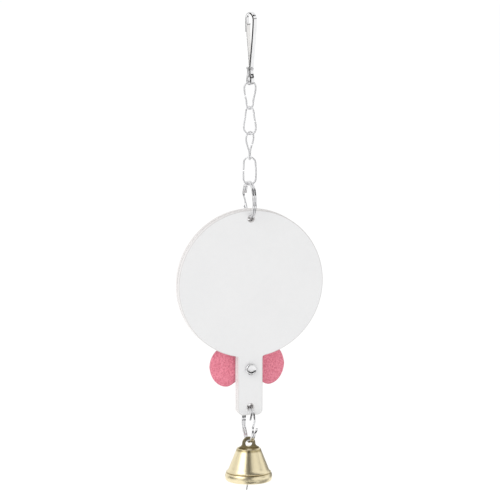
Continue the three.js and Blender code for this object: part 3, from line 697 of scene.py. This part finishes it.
def hook_path():
    """Down-turned nose, half-circle arch, leg that closes in to the neck, round eye and back up to the
    neck."""
    nose, leg = ARCH_OFFSET - ARCH_RADIUS, ARCH_OFFSET + ARCH_RADIUS
    lean = (leg - NECK_HALF) / 4
    half = EYE_DROP / 2
    return np.vstack([
        line((nose, ARCH_HEIGHT - NOSE_LENGTH + STRIP_END_ROUND), (nose, ARCH_HEIGHT)),
        arc(ARCH_OFFSET, ARCH_HEIGHT, ARCH_RADIUS, 180, 0, 80),
        bezier((leg, ARCH_HEIGHT), (leg, ARCH_HEIGHT - LEG_LENGTH / 4),
               (NECK_HALF + lean, NECK_TOP + LEG_LENGTH / 4), (NECK_HALF, NECK_TOP)),
        line((NECK_HALF, NECK_TOP), (NECK_HALF, NECK_BOTTOM)),
        bezier((NECK_HALF, NECK_BOTTOM), (NECK_HALF, NECK_BOTTOM - half),
               (EYE_RADIUS, EYE_HEIGHT + half), (EYE_RADIUS, EYE_HEIGHT)),
        arc(0, EYE_HEIGHT, EYE_RADIUS, 0, -180, 80),
        bezier((-EYE_RADIUS, EYE_HEIGHT), (-EYE_RADIUS, EYE_HEIGHT + half),
               (-NECK_HALF, NECK_BOTTOM - half), (-NECK_HALF, NECK_BOTTOM)),
        line((-NECK_HALF, NECK_BOTTOM), (-NECK_HALF, NECK_TOP - STRIP_END_ROUND)),
    ])


def neck_drill(obj):
    """The rivet's hole through the neck."""
    reach = 2 * (NECK_HALF + STRIP_THICKNESS)
    ends = upright(np.array([[-reach, NECK_MIDDLE], [reach, NECK_MIDDLE]]))
    drill(obj, ends[0], ends[1], GATE_RIVET_DIAMETER + 2 * FIT_GAP)


def hook_pieces():
    """The bent strip, whose edges are round at the nose and crisp on the leg, the spring gate in it and
    the rivet through the neck."""
    across = turn_z(np.array([[0.0, 1.0, 0.0]]), HOOK_TURN)[0]
    path = evenly(hook_path(), HOOK_STEPS)
    crisp = smoothstep(path[:, 0], 0, STRIP_CRISP_FROM)[:, None, None]
    strip = ((1 - crisp) * strip_section(STRIP_WIDTH, STRIP_THICKNESS, STRIP_NOSE_ROUND)
             + crisp * strip_section(STRIP_WIDTH, STRIP_THICKNESS, STRIP_LEG_ROUND))
    corners = np.tile(np.sin(np.linspace(0, np.pi, CORNER_STEPS)), 4)
    body = swept(upright(path), across, strip, STRIP_END_ROUND, corners)
    neck_drill(dress("hook_strip", *body, "hook", "nickel", NICKEL, "hook_body"))

    tip = ARCH_HEIGHT - NOSE_LENGTH + GATE_NOSE_OVERLAP
    foot = tip - GATE_LIP_LENGTH
    rise = foot - NECK_TOP
    lean = ARCH_OFFSET - MOUTH_WIDTH / 2 + FIT_GAP + GATE_THICKNESS / 2
    blade = evenly(np.vstack([
        line((0, NECK_BOTTOM), (0, NECK_TOP)),
        bezier((0, NECK_TOP), (0, NECK_TOP + rise / 8), (lean, foot - rise / 8), (lean, foot)),
        bezier((lean, foot), (lean, foot + GATE_LIP_LENGTH / 3),
               (lean + GATE_LIP_LEAN / 3, foot + GATE_LIP_LENGTH * 2 / 3), (lean + GATE_LIP_LEAN, tip)),
    ]), GATE_STEPS)
    wide, corner = GATE_TIP_WIDTH / 2, GATE_TIP_CORNER
    straight = GATE_ROOT_WIDTH / 2 + (wide - GATE_ROOT_WIDTH / 2) * np.clip(
        (blade[:, 1] - NECK_TOP) / (tip - corner - NECK_TOP), 0, 1)
    over = np.clip((blade[:, 1] - tip + corner) / corner, 0, 1)
    half_width = straight - corner * (1 - np.sqrt(1 - over ** 2))
    outline = squared_circle(2, 2, GATE_SQUARENESS, GATE_SIDES)
    flat = np.stack(np.broadcast_arrays(half_width[:, None], GATE_THICKNESS / 2), -1)
    section = flat * outline[None]
    edge = np.abs(outline[:, 0]) ** 6
    gate = swept(upright(blade), across, section, GATE_END_ROUND, edge)
    neck_drill(dress("gate_tongue", *gate, "gate", "spring_steel", STEEL, "hook_gate"))

    seat = NECK_HALF + STRIP_THICKNESS / 2 + FIT_GAP
    rise = GATE_RIVET_HEIGHT - GATE_RIVET_FLANGE
    dome = head_profile(GATE_RIVET_HEAD / 2, seat, GATE_RIVET_FLANGE, rise, 2)
    shank = GATE_RIVET_DIAMETER / 2
    profile = np.vstack([dome[::-1] * (1, -1), [[shank, -seat], [shank, seat]], dome])
    points, faces, edges = turned(profile, GATE_RIVET_SIDES)
    flat = np.column_stack([points[:, 2], points[:, 1], -points[:, 0] + NECK_MIDDLE])
    dress("neck_rivet", turn_z(flat, HOOK_TURN), faces, edges, "hook", "nickel", WIRE, "gate_rivet")


def head_profile(radius, base, flange, dome, power, count=14):
    """Rivet head from its seat to its pole: a straight flange, then a quarter of a squared circle."""
    angle = np.linspace(0, np.pi / 2, count)
    r = radius * np.cos(angle) ** (2 / power)
    r[-1] = 0
    curve = np.column_stack([r, base + flange + dome * np.sin(angle) ** (2 / power)])
    return np.vstack([[[radius, base]], curve])


# Chain links and split rings

LINK_RADIUS = (LINK_WIDTH - LINK_WIRE) / 2
LINK_STRAIGHT = (LINK_LENGTH - LINK_WIDTH) / 2


def chain_link(number):
    """A long loop of wire, butted half way up one side. About its length the loop turns by the twist,
    smoothly from the upper bend to the lower one."""
    butt = LINK_BUTT_GAP / 2 + WIRE_END_ROUND
    flat = evenly(np.vstack([
        line((-LINK_RADIUS, butt), (-LINK_RADIUS, LINK_STRAIGHT)),
        arc(0, LINK_STRAIGHT, LINK_RADIUS, 180, 0, 90),
        line((LINK_RADIUS, LINK_STRAIGHT), (LINK_RADIUS, -LINK_STRAIGHT), 60),
        arc(0, -LINK_STRAIGHT, LINK_RADIUS, 0, -180, 90),
        line((-LINK_RADIUS, -LINK_STRAIGHT), (-LINK_RADIUS, -butt)),
    ]), LINK_STEPS)
    turn = FIRST_LINK_TURN + (number - 1) * (LINK_TWIST + LINK_CROSSING)
    twist = LINK_TWIST * (1 - smoothstep(flat[:, 1], -LINK_STRAIGHT, LINK_STRAIGHT))
    angle = np.radians(turn + twist)
    node_name = f"chain_link_{number}"
    middle = (low(node_name)[2] + high(node_name)[2]) / 2
    out, up = flat.T
    path = np.column_stack([out * np.cos(angle), out * np.sin(angle), up + middle])
    side = np.column_stack([-np.sin(angle), np.cos(angle), np.zeros(len(angle))])
    link = swept(path, side, round_wire(LINK_WIRE), WIRE_END_ROUND)
    dress(f"twisted_link_{number}", *link, f"link_{number}", "nickel", WIRE, node_name)


def split_ring(name, body, node_name, joggle):
    """Two turns of wire round X. At the joggle the wire steps from one layer to the other, and its two
    ends stand open by a flare that dies away along the wire. The wire is round at the ring's top and
    bottom, where it bears, and rolled nearly square at its sides, above a share of the radius."""
    radius = (RING_DIAMETER - RING_WIRE) / 2
    layer = (RING_WIRE + RING_LAYER_GAP) / 2
    step = joggle["length"]
    first = step / 2 + RING_END_TRIM
    turn = np.linspace(first, 720 - first, RING_STEPS)
    along = smoothstep(turn, 360 - step / 2, 360 + step / 2)
    opening = np.minimum(turn, 720 - turn) - step / 2
    flare = joggle["flare"] * (1 - smoothstep(opening, 0, step))
    angle = np.radians(joggle["at"] + turn)
    middle = (low(node_name)[2] + high(node_name)[2]) / 2
    path = np.column_stack([(2 * along - 1) * (layer + flare), radius * np.sin(angle),
                            radius * np.cos(angle) + middle])
    above = joggle["rolled_above"]
    rolled = smoothstep(np.abs(np.sin(angle)), RING_ROLL_START, RING_ROLL_FULL)
    rolled = rolled * smoothstep(np.cos(angle), above - RING_ROLL_FADE, above + RING_ROLL_FADE)
    rolled = rolled[:, None, None]
    square = squared_circle(RING_WIRE, RING_WIRE, RING_SQUARENESS, RING_SIDES)
    section = (1 - rolled) * round_wire(RING_WIRE, RING_SIDES) + rolled * square
    ring = swept(path, np.array([1.0, 0, 0]), section, RING_END_ROUND)
    dress(name, *ring, body, "nickel", RING, node_name)


# Mirror sheets, bow and rivet

def round_hole(diameter, z, count=56):
    """A hole's loop, run clockwise so that the material is on its left."""
    return arc(0, z, diameter / 2, 0, -360, count + 1)[:-1]


DISC_RADIUS = high("back_plate")[0]


def mirror_loops():
    """Outline of the disc and its handle, run counter-clockwise, with the two ring holes and the rivet's
    hole."""
    half, f, c = HANDLE_WIDTH / 2, HANDLE_FILLET, HANDLE_CORNER
    fillet_z = -np.sqrt((DISC_RADIUS + f) ** 2 - (half + f) ** 2)
    meet = np.degrees(np.arctan2(-fillet_z, half + f))
    outline = np.vstack([
        arc(0, 0, DISC_RADIUS, -meet, 180 + meet, 300)[:-1],
        arc(-half - f, fillet_z, f, meet, 0, 12),
        line((-half, fillet_z - 0.5), (-half, c - HANDLE_END + 0.5), 6),
        arc(c - half, c - HANDLE_END, c, 180, 270, 18),
        line((c - half + 0.5, -HANDLE_END), (half - c - 0.5, -HANDLE_END), 4),
        arc(half - c, c - HANDLE_END, c, 270, 360, 18),
        line((half, c - HANDLE_END + 0.5), (half, fillet_z - 0.5), 6),
        arc(half + f, fillet_z, f, 180, 180 - meet, 12)[:-1],
    ])
    holes = [round_hole(RING_HOLE, UPPER_HOLE_RISE), round_hole(RING_HOLE, -LOWER_HOLE_DROP),
             round_hole(RIVET_SHANK + 2 * FIT_GAP, -RIVET_DROP)]
    return [outline] + holes


def mirror_sheets():
    """White back, silvered foil and clear front, each between the depths of its solid. A film of air is
    left between the foil and the clear front."""
    centre = np.array([0, 0, high("back_plate")[2] - DISC_RADIUS])
    for name, node_name, slot, material, edge_round, air in (
            ("white_back", "back_plate", "white_plastic", WHITE, SHEET_ROUND, 0),
            ("silvered_foil", "mirror_foil", "silver_foil", SILVER, FOIL_ROUND, AIR_FILM),
            ("clear_front", "acrylic_front", "clear_acrylic", CLEAR, SHEET_ROUND, 0)):
        near, far = low(node_name)[1], high(node_name)[1] - air
        points, faces, edges, flat = cut_sheet(mirror_loops(), near, far, edge_round)
        dress(name, points + centre, faces, edges, "panel", slot, material, node_name, flat=flat)
    return centre + (0, 0, -RIVET_DROP)


def felt_bow(centre):
    """A felt strip with two round lobes. Its half height swells from the waist to the lobe's middle and
    then follows an ellipse to the tip. Each cross-section is a flat oval with full faces, moved forward
    by the curl with the square of the distance, and folded near the waist by a cosine across the height.
    Two sine waves lift the faces a little. The whole is tilted and moved."""
    reach = BOW_LOBE_CENTRE + BOW_LOBE_REACH
    back = high("acrylic_front")[1] + BOW_SEAT_GAP + BOW_GATHER_DEPTH
    x = -reach * np.cos(np.pi * np.arange(1, BOW_STEPS) / BOW_STEPS)[:, None]
    angle = 2 * np.pi * np.arange(BOW_SIDES)[None] / BOW_SIDES
    out = np.abs(x)
    growth = BOW_LOBE_HALF_HEIGHT - BOW_WAIST_HALF_HEIGHT
    swell = BOW_WAIST_HALF_HEIGHT + growth * smoothstep(out, 0, BOW_LOBE_CENTRE)
    end = np.clip((out - BOW_LOBE_CENTRE) / BOW_LOBE_REACH, 0, 1)
    half = np.where(out < BOW_LOBE_CENTRE, swell, BOW_LOBE_HALF_HEIGHT * np.sqrt(1 - end ** 2))
    across = np.sin(angle)
    face = np.sign(np.cos(angle)) * np.abs(np.cos(angle)) ** BOW_FACE_POWER
    fade = np.exp(-(x / BOW_GATHER_REACH) ** 2)
    fold = BOW_GATHER_DEPTH * fade * np.cos(np.pi * BOW_GATHERS * across)
    up = half * across
    matted = BOW_MATTING * np.sin(1.9 * x + 2.3 * up) * np.sin(1.3 * x - 2.9 * up + 0.7)
    middle = back + BOW_FELT / 2 + BOW_CURL * (x / reach) ** 2
    depth = middle + (BOW_FELT / 2 + matted) * face + fold
    rows = np.stack([np.broadcast_to(x, depth.shape), depth, up], -1)
    tip = back + BOW_FELT / 2 + BOW_CURL
    points, faces = skin(rows, [-reach, tip, 0], [reach, tip, 0])
    rim = np.maximum(np.abs(across) ** 8, smoothstep(end, BOW_RIM_START, 1))
    edges = np.concatenate([rim.ravel(), [1, 1]])
    c, d = np.cos(np.radians(BOW_TILT)), np.sin(np.radians(BOW_TILT))
    points = points @ np.array([[c, 0, d], [0, 1, 0], [-d, 0, c]]) + (BOW_SHIFT, 0, BOW_RISE)
    points = points + centre * (1, 0, 1)
    bow = dress("felt_bow", points, faces, edges, "panel", "pink_felt", FELT, "bow", sharp=80)
    drill(bow, centre, centre + (0, BOW_DRILL_REACH, 0), RIVET_SHANK + 2 * FIT_GAP)
    sheet_area(bow)


def sheet_area(obj):
    """Half of a closed felt piece's surface, which is the area that it was cut to."""
    areas = np.empty(len(obj.data.polygons))
    obj.data.polygons.foreach_get("area", areas)
    return float(areas.sum() / 2)


def rivet_pieces(centre):
    """The post with its head on the white back, and the cap that grips it in front of the bow."""
    pieces = ("rivet_head_post", "rivet_post", -1), ("rivet_front_cap", "rivet_cap", 1)
    for name, node_name, sign in pieces:
        seat = -low("back_plate")[1] + FIT_GAP if sign < 0 else low("rivet_cap")[1]
        head = head_profile(RIVET_HEAD / 2, seat, RIVET_FLANGE, RIVET_DOME, RIVET_SQUARENESS, 24)
        if sign < 0:
            foot = -high(node_name)[1]
            start = [[0, foot], [RIVET_SHANK / 2, foot], [RIVET_SHANK / 2, seat]]
        else:
            bore = RIVET_SHANK / 2 + FIT_GAP
            floor = seat + RIVET_FLANGE + RIVET_CAP_GRIP
            start = [[0, floor], [bore, floor], [bore, seat]]
        profile = np.vstack([start, head])
        points, faces, edges = turned(profile, RIVET_SIDES)
        x, y, z = points.T
        laid = np.column_stack([x, sign * z, y]) + centre * (1, 0, 1)
        dress(name, laid, faces, edges, "panel", "nickel", NICKEL, node_name)


# Bell and clapper

def bell_profile():
    """Outside from the crown's middle: flat crown, quarter round, straight cone, flare, groove and a
    swelled band. Then the inside back up. The swell is the root of a half sine. Gives the points and how
    dark
    each is painted: a painted dark reflection round the groove, and darker at the crown's edge and
    inside."""
    foot = BELL_RIM_RADIUS - BELL_RIM_SWELL
    band = BELL_HEIGHT - BELL_RIM_BAND
    corner = BELL_CROWN_RADIUS - BELL_CROWN_ROUND
    crown = arc(corner, -BELL_CROWN_ROUND, BELL_CROWN_ROUND, 90, 0, 12)
    cone = line(crown[-1], (BELL_CONE_RADIUS, -BELL_CONE_HEIGHT), 30)[1:]
    lip = BELL_RIM_GROOVE - band
    flare = quadratic(cone[-1], ((BELL_CONE_RADIUS + foot) / 2, lip), (foot, lip), 16)[1:]
    part = (1 - np.cos(np.pi * np.linspace(0, 1, 40))) / 2
    swell = (BELL_RIM_SWELL + BELL_RIM_GROOVE) * np.sqrt(np.sin(np.pi * part))
    swell[-1] = 0
    rim = np.column_stack([foot - BELL_RIM_GROOVE + swell, -band - BELL_RIM_BAND * part])
    mouth = foot - BELL_RIM_GROOVE - BELL_WALL
    inside = np.vstack([
        line((mouth, -BELL_HEIGHT), (mouth, -band), 6),
        line((mouth, -band), (BELL_CONE_RADIUS - BELL_WALL, -BELL_CONE_HEIGHT), 6)[1:],
        line((BELL_CONE_RADIUS - BELL_WALL, -BELL_CONE_HEIGHT),
             (BELL_CROWN_RADIUS - BELL_WALL, -BELL_CROWN_ROUND - BELL_WALL), 20)[1:],
        [[BELL_CROWN_RADIUS - BELL_CROWN_ROUND - BELL_WALL, -BELL_WALL], [0, -BELL_WALL]],
    ])
    top = np.vstack([[[0, 0]], line((0.6, 0), (corner - 0.3, 0), 8)])
    profile = np.vstack([top, crown, cone, flare, rim, inside])
    # Painted dark reflection: a bell curve round the groove
    darkening = GROOVE_DARK_REFLECTION * np.exp(-((profile[:, 1] + band) / GROOVE_DARK_REFLECTION_WIDTH) ** 2)
    edge, under = len(top), len(top) + len(crown)
    darkening[:edge] = CROWN_DARKENING
    darkening[edge:under] = np.linspace(CROWN_DARKENING, 1, len(crown))
    darkening[under:under + len(CONE_TOP_DARKENING)] = CONE_TOP_DARKENING
    darkening[-len(inside):] = INSIDE_DARKENING
    return profile, darkening


def ear_loops():
    """The ear from the front: tang, wide foot, flanks that draw in to a round lobe, and two holes."""
    foot, tang = EAR_FOOT_WIDTH / 2, TANG_WIDTH / 2
    end = -BELL_WALL - TANG_LENGTH
    flank = quadratic((foot, EAR_FOOT_HEIGHT), (EAR_RADIUS, EAR_RISE / 2), (EAR_RADIUS, EAR_RISE), 24)
    right = np.vstack([line((0, end), (tang, end), 6), line((tang, end), (tang, 0), 8)[1:],
                       line((tang, 0), (foot, 0), 6)[1:], flank])
    lobe = arc(0, EAR_RISE, EAR_RADIUS, 0, 180, 60)[1:-1]
    left = right[::-1] * (-1, 1)
    outline = np.vstack([right, lobe, left[:-1]])
    tang_hole = round_hole(TANG_HOLE, end + TANG_MARGIN + TANG_HOLE / 2, 40)
    return [outline, round_hole(EAR_HOLE, EAR_RISE), tang_hole]


def bell_pieces():
    """The spun bell, and the flat ear whose tang goes through the crown."""
    crown = np.array([0, 0, high("bell_shell")[2]])
    profile, darkening = bell_profile()
    points, faces, edges = turned(profile, BELL_SIDES, darkening)
    dress("spun_bell", points + crown, faces, edges, "bell", "pale_brass", GOLD, "bell_shell", sharp=50)
    half = EAR_THICKNESS / 2
    points, faces, edges, flat = cut_sheet(ear_loops(), -half, half, EAR_ROUND)
    # The ear is painted dark for its dark reflection; its walls take a little of the lighter olive brown
    edges = EAR_WALL_TONE * edges
    dress("flat_ear", points + crown, faces, edges, "bell", "pale_brass", EAR_GOLD_PAINTED_DARK, "bell_ear", flat=flat)


def clapper_pieces():
    """A wire bent to an open eye, a straight shank and a leaning tail, with a bored ball on the shank."""
    ball = (low("clapper_ball") + high("clapper_ball")) / 2
    seat = ball[2] + CLAPPER_BALL_DROP
    r = CLAPPER_EYE_RADIUS
    turn = np.radians(np.linspace(*CLAPPER_EYE_TURN, EYE_STEPS))
    eye = np.column_stack([np.zeros(EYE_STEPS), r * np.sin(turn), -r - r * np.cos(turn)])
    way = np.array([0, np.cos(turn[-1]), np.sin(turn[-1])])
    shank = np.array([0, 0, -2 * r - CLAPPER_NECK])
    end = np.array([0, 0, -CLAPPER_BALL_DROP - CLAPPER_BALL / 2 - CLAPPER_WIRE])
    tail = end + (-CLAPPER_TAIL_LEAN, 0, -CLAPPER_TAIL + WIRE_END_ROUND)
    down = np.array([0, 0, -1.0])
    path = evenly(np.vstack([
        eye,
        bezier(eye[-1], eye[-1] + 0.9 * way, shank - 1.2 * down, shank, 30),
        line(shank, end, 40),
        bezier(end, end + 2 * down, tail - 2 * unit(tail - end), tail, 40),
    ]), CLAPPER_STEPS) + (0, 0, seat)
    wire = swept(path, np.array([1.0, 0, 0]), round_wire(CLAPPER_WIRE), WIRE_END_ROUND)
    dress("clapper_stem", *wire, "clapper", "spring_steel", STEEL, "clapper_wire")
    radius, bore = CLAPPER_BALL / 2, CLAPPER_WIRE / 2 + FIT_GAP
    pole = np.arcsin(bore / radius)
    angle = np.linspace(pole, np.pi - pole, 40)
    profile = np.column_stack([radius * np.sin(angle), -radius * np.cos(angle)])
    points, faces, edges = turned(profile, BEAD_SIDES)
    points = points + ball * (0, 0, 1)
    dress("clapper_bead", points, faces, edges, "clapper", "spring_steel", STEEL, "clapper_ball")


# Studio, in metres and degrees

FLOOR_HEIGHT = -0.42
FLOOR_REACH = 9.0
FLOOR_SHADE = 0.9
FLOOR_GLOW = 0.32
MAT_LIFT = 0.001
WORLD_LIGHT = 0.76
LAMP_SIZE = 1.2
LAMP_POWER = 8.0
LAMP_PLACE = (-1.25, -0.61, 0.85)
LAMP_AIM = (0, 0, -0.13)

# Dark mats on the floor: first and last azimuth, near and far distance, shade
MATS = {
    "mat_near": (-32, 14, 0.08, 0.19, 0.02),
    "mat_front": (-50, 2, 0.6, 1.6, 0.3),
    "mat_left": (-150, -100, 0.95, 1.4, 0.3),
    "mat_middle": (-32, 30, 0.19, 0.34, 0.02),
    "mat_ear": (2, 40, 0.6, 1.0, 0.02),
    "mat_below": (40, 100, 0.02, 0.8, 0.45),
    "mat_right": (100, 150, 0.92, 1.6, 0.3),
    "mat_behind": (150, 215, 1.25, 1.7, 0.5),
}

# Upright flags: azimuth, distance, width, bottom, top, shade
FLAGS = {
    "flag_front_low": (-23, 1.6, 1.55, FLOOR_HEIGHT, 0.1, 0.35),
    "flag_front_high": (-16.4, 1.6, 1.05, 0.1, 1.05, 0.02),
    "flag_top_front": (-10, 1.6, 2.2, 1.05, 4.6, 0.02),
    "flag_top_right": (60, 1.6, 2.0, 1.3, 4.6, 0.02),
    "flag_left_low": (-102, 1.6, 1.5, FLOOR_HEIGHT, 0.05, 0.02),
    "flag_left_high": (-125, 1.6, 1.3, 0.35, 1.6, 0.85),
    "flag_right_low": (125, 1.6, 1.1, FLOOR_HEIGHT, 0.05, 0.3),
    "flag_right_high": (63, 1.6, 0.7, 0.08, 0.3, 0.02),
    "flag_mirror_side": (140, 1.9, 0.7, FLOOR_HEIGHT, 0.4, 0.05),
}


def stage_panel(name, corners, shade, seen_by_camera=False):
    """A flat grey panel of the studio. Mats and flags, which only metal and glass see, are hidden from
    the camera, from soft light and from shadows."""
    mesh = bpy.data.meshes.new(name)
    mesh.from_pydata(corners, [], [list(range(len(corners)))])
    material = bpy.data.materials.new(name)
    material.use_nodes = True
    shader = material.node_tree.nodes["Principled BSDF"]
    shader.inputs["Base Color"].default_value = (shade, shade, shade, 1)
    shader.inputs["Roughness"].default_value = 1.0
    shader.inputs["Specular IOR Level"].default_value = 0.0
    mesh.materials.append(material)
    obj = linked(name, mesh)
    obj.visible_camera = seen_by_camera
    obj.visible_diffuse = seen_by_camera
    obj.visible_shadow = seen_by_camera
    return shader


def mat(name, start, end, near, far, shade):
    """A patch just over the floor, between two azimuths and two distances from the Z axis."""
    angle = np.radians(np.linspace(start, end, 13))
    way = np.column_stack([np.sin(angle), -np.cos(angle)])
    ring = np.vstack([near * way, far * way[::-1]])
    corners = np.column_stack([ring, np.full(len(ring), FLOOR_HEIGHT + MAT_LIFT)])
    stage_panel(name, corners.tolist(), shade)


def flag(name, azimuth, distance, width, bottom, top, shade):
    """An upright panel that faces the object. Azimuth 0 is in front of the white back, on -Y."""
    angle = np.radians(azimuth)
    away = np.array([np.sin(angle), -np.cos(angle)]) * distance
    side = np.array([np.cos(angle), np.sin(angle)]) * width / 2
    left, right = away - side, away + side
    corners = [(*left, bottom), (*right, bottom), (*right, top), (*left, top)]
    stage_panel(name, corners, shade)


def studio():
    """White floor and white surroundings, one broad soft lamp, and dark mats and flags for the metal to
    mirror."""
    square = ((-1, -1), (1, -1), (1, 1), (-1, 1))
    corners = [(x * FLOOR_REACH, y * FLOOR_REACH, FLOOR_HEIGHT) for x, y in square]
    floor = stage_panel("floor", corners, FLOOR_SHADE, seen_by_camera=True)
    floor.inputs["Emission Color"].default_value = (1, 1, 1, 1)
    floor.inputs["Emission Strength"].default_value = FLOOR_GLOW
    for name, row in MATS.items():
        mat(name, *row)
    for name, row in FLAGS.items():
        flag(name, *row)

    world = bpy.data.worlds.new("studio")
    bpy.context.scene.world = world
    world.use_nodes = True
    tree = world.node_tree
    tree.nodes.clear()
    ray = node(tree, "ShaderNodeLightPath").outputs
    seen = math(tree, "MAXIMUM", math(tree, "MAXIMUM", ray["Is Camera Ray"], ray["Is Glossy Ray"]),
                ray["Is Transmission Ray"])
    lit = node(tree, "ShaderNodeBackground", {0: (1, 1, 1, 1), 1: WORLD_LIGHT}).outputs[0]
    white = node(tree, "ShaderNodeBackground", {0: (1, 1, 1, 1), 1: 1.0}).outputs[0]
    mixed = node(tree, "ShaderNodeMixShader", {0: seen, 1: lit, 2: white}).outputs[0]
    node(tree, "ShaderNodeOutputWorld", {0: mixed})

    lamp = bpy.data.lights.new("soft_lamp", "AREA")
    lamp.shape = "RECTANGLE"
    lamp.size = LAMP_SIZE
    lamp.size_y = LAMP_SIZE
    lamp.energy = LAMP_POWER
    obj = linked("soft_lamp", lamp)
    obj.location = LAMP_PLACE
    obj.rotation_mode = "QUATERNION"
    obj.rotation_quaternion = (Vector(LAMP_AIM) - Vector(LAMP_PLACE)).to_track_quat("-Z", "Y")
    bpy.context.scene.view_settings.view_transform = "Standard"


# Camera, in metres and degrees

CAMERA_AZIMUTH = -16.4
CAMERA_ELEVATION = 11.4
CAMERA_DISTANCE = 6.0
CAMERA_TARGET = (0.0003, -0.0001, -0.1276)
CAMERA_ROLL = 0.2
CAMERA_RANGE = 60.0
SENSOR_WIDTH = 36.0
FRAME_WIDTH = 0.266


def camera():
    """A long lens at the photograph's angle. Its focal length frames the object's plane at the frame's
    width."""
    a, e = np.radians(CAMERA_AZIMUTH), np.radians(CAMERA_ELEVATION)
    back = Vector((np.sin(a) * np.cos(e), -np.cos(a) * np.cos(e), np.sin(e)))
    data = bpy.data.cameras.new("camera")
    data.sensor_width = SENSOR_WIDTH
    data.lens = SENSOR_WIDTH * CAMERA_DISTANCE / FRAME_WIDTH
    data.clip_end = CAMERA_RANGE
    obj = linked("camera", data)
    obj.location = Vector(CAMERA_TARGET) + CAMERA_DISTANCE * back
    obj.rotation_mode = "QUATERNION"
    roll = Quaternion((0, 0, 1), np.radians(CAMERA_ROLL))
    obj.rotation_quaternion = (-back).to_track_quat("-Z", "Y") @ roll
    bpy.context.scene.camera = obj


camera()
studio()
hook_pieces()
for link_number in (1, 2, 3, 4):
    chain_link(link_number)
split_ring("upper_wire_ring", "upper_ring", "upper_split_ring", UPPER_JOGGLE)
rivet_centre = mirror_sheets()
rivet_pieces(rivet_centre)
felt_bow(rivet_centre)
split_ring("lower_wire_ring", "lower_ring", "lower_split_ring", LOWER_JOGGLE)
bell_pieces()
clapper_pieces()
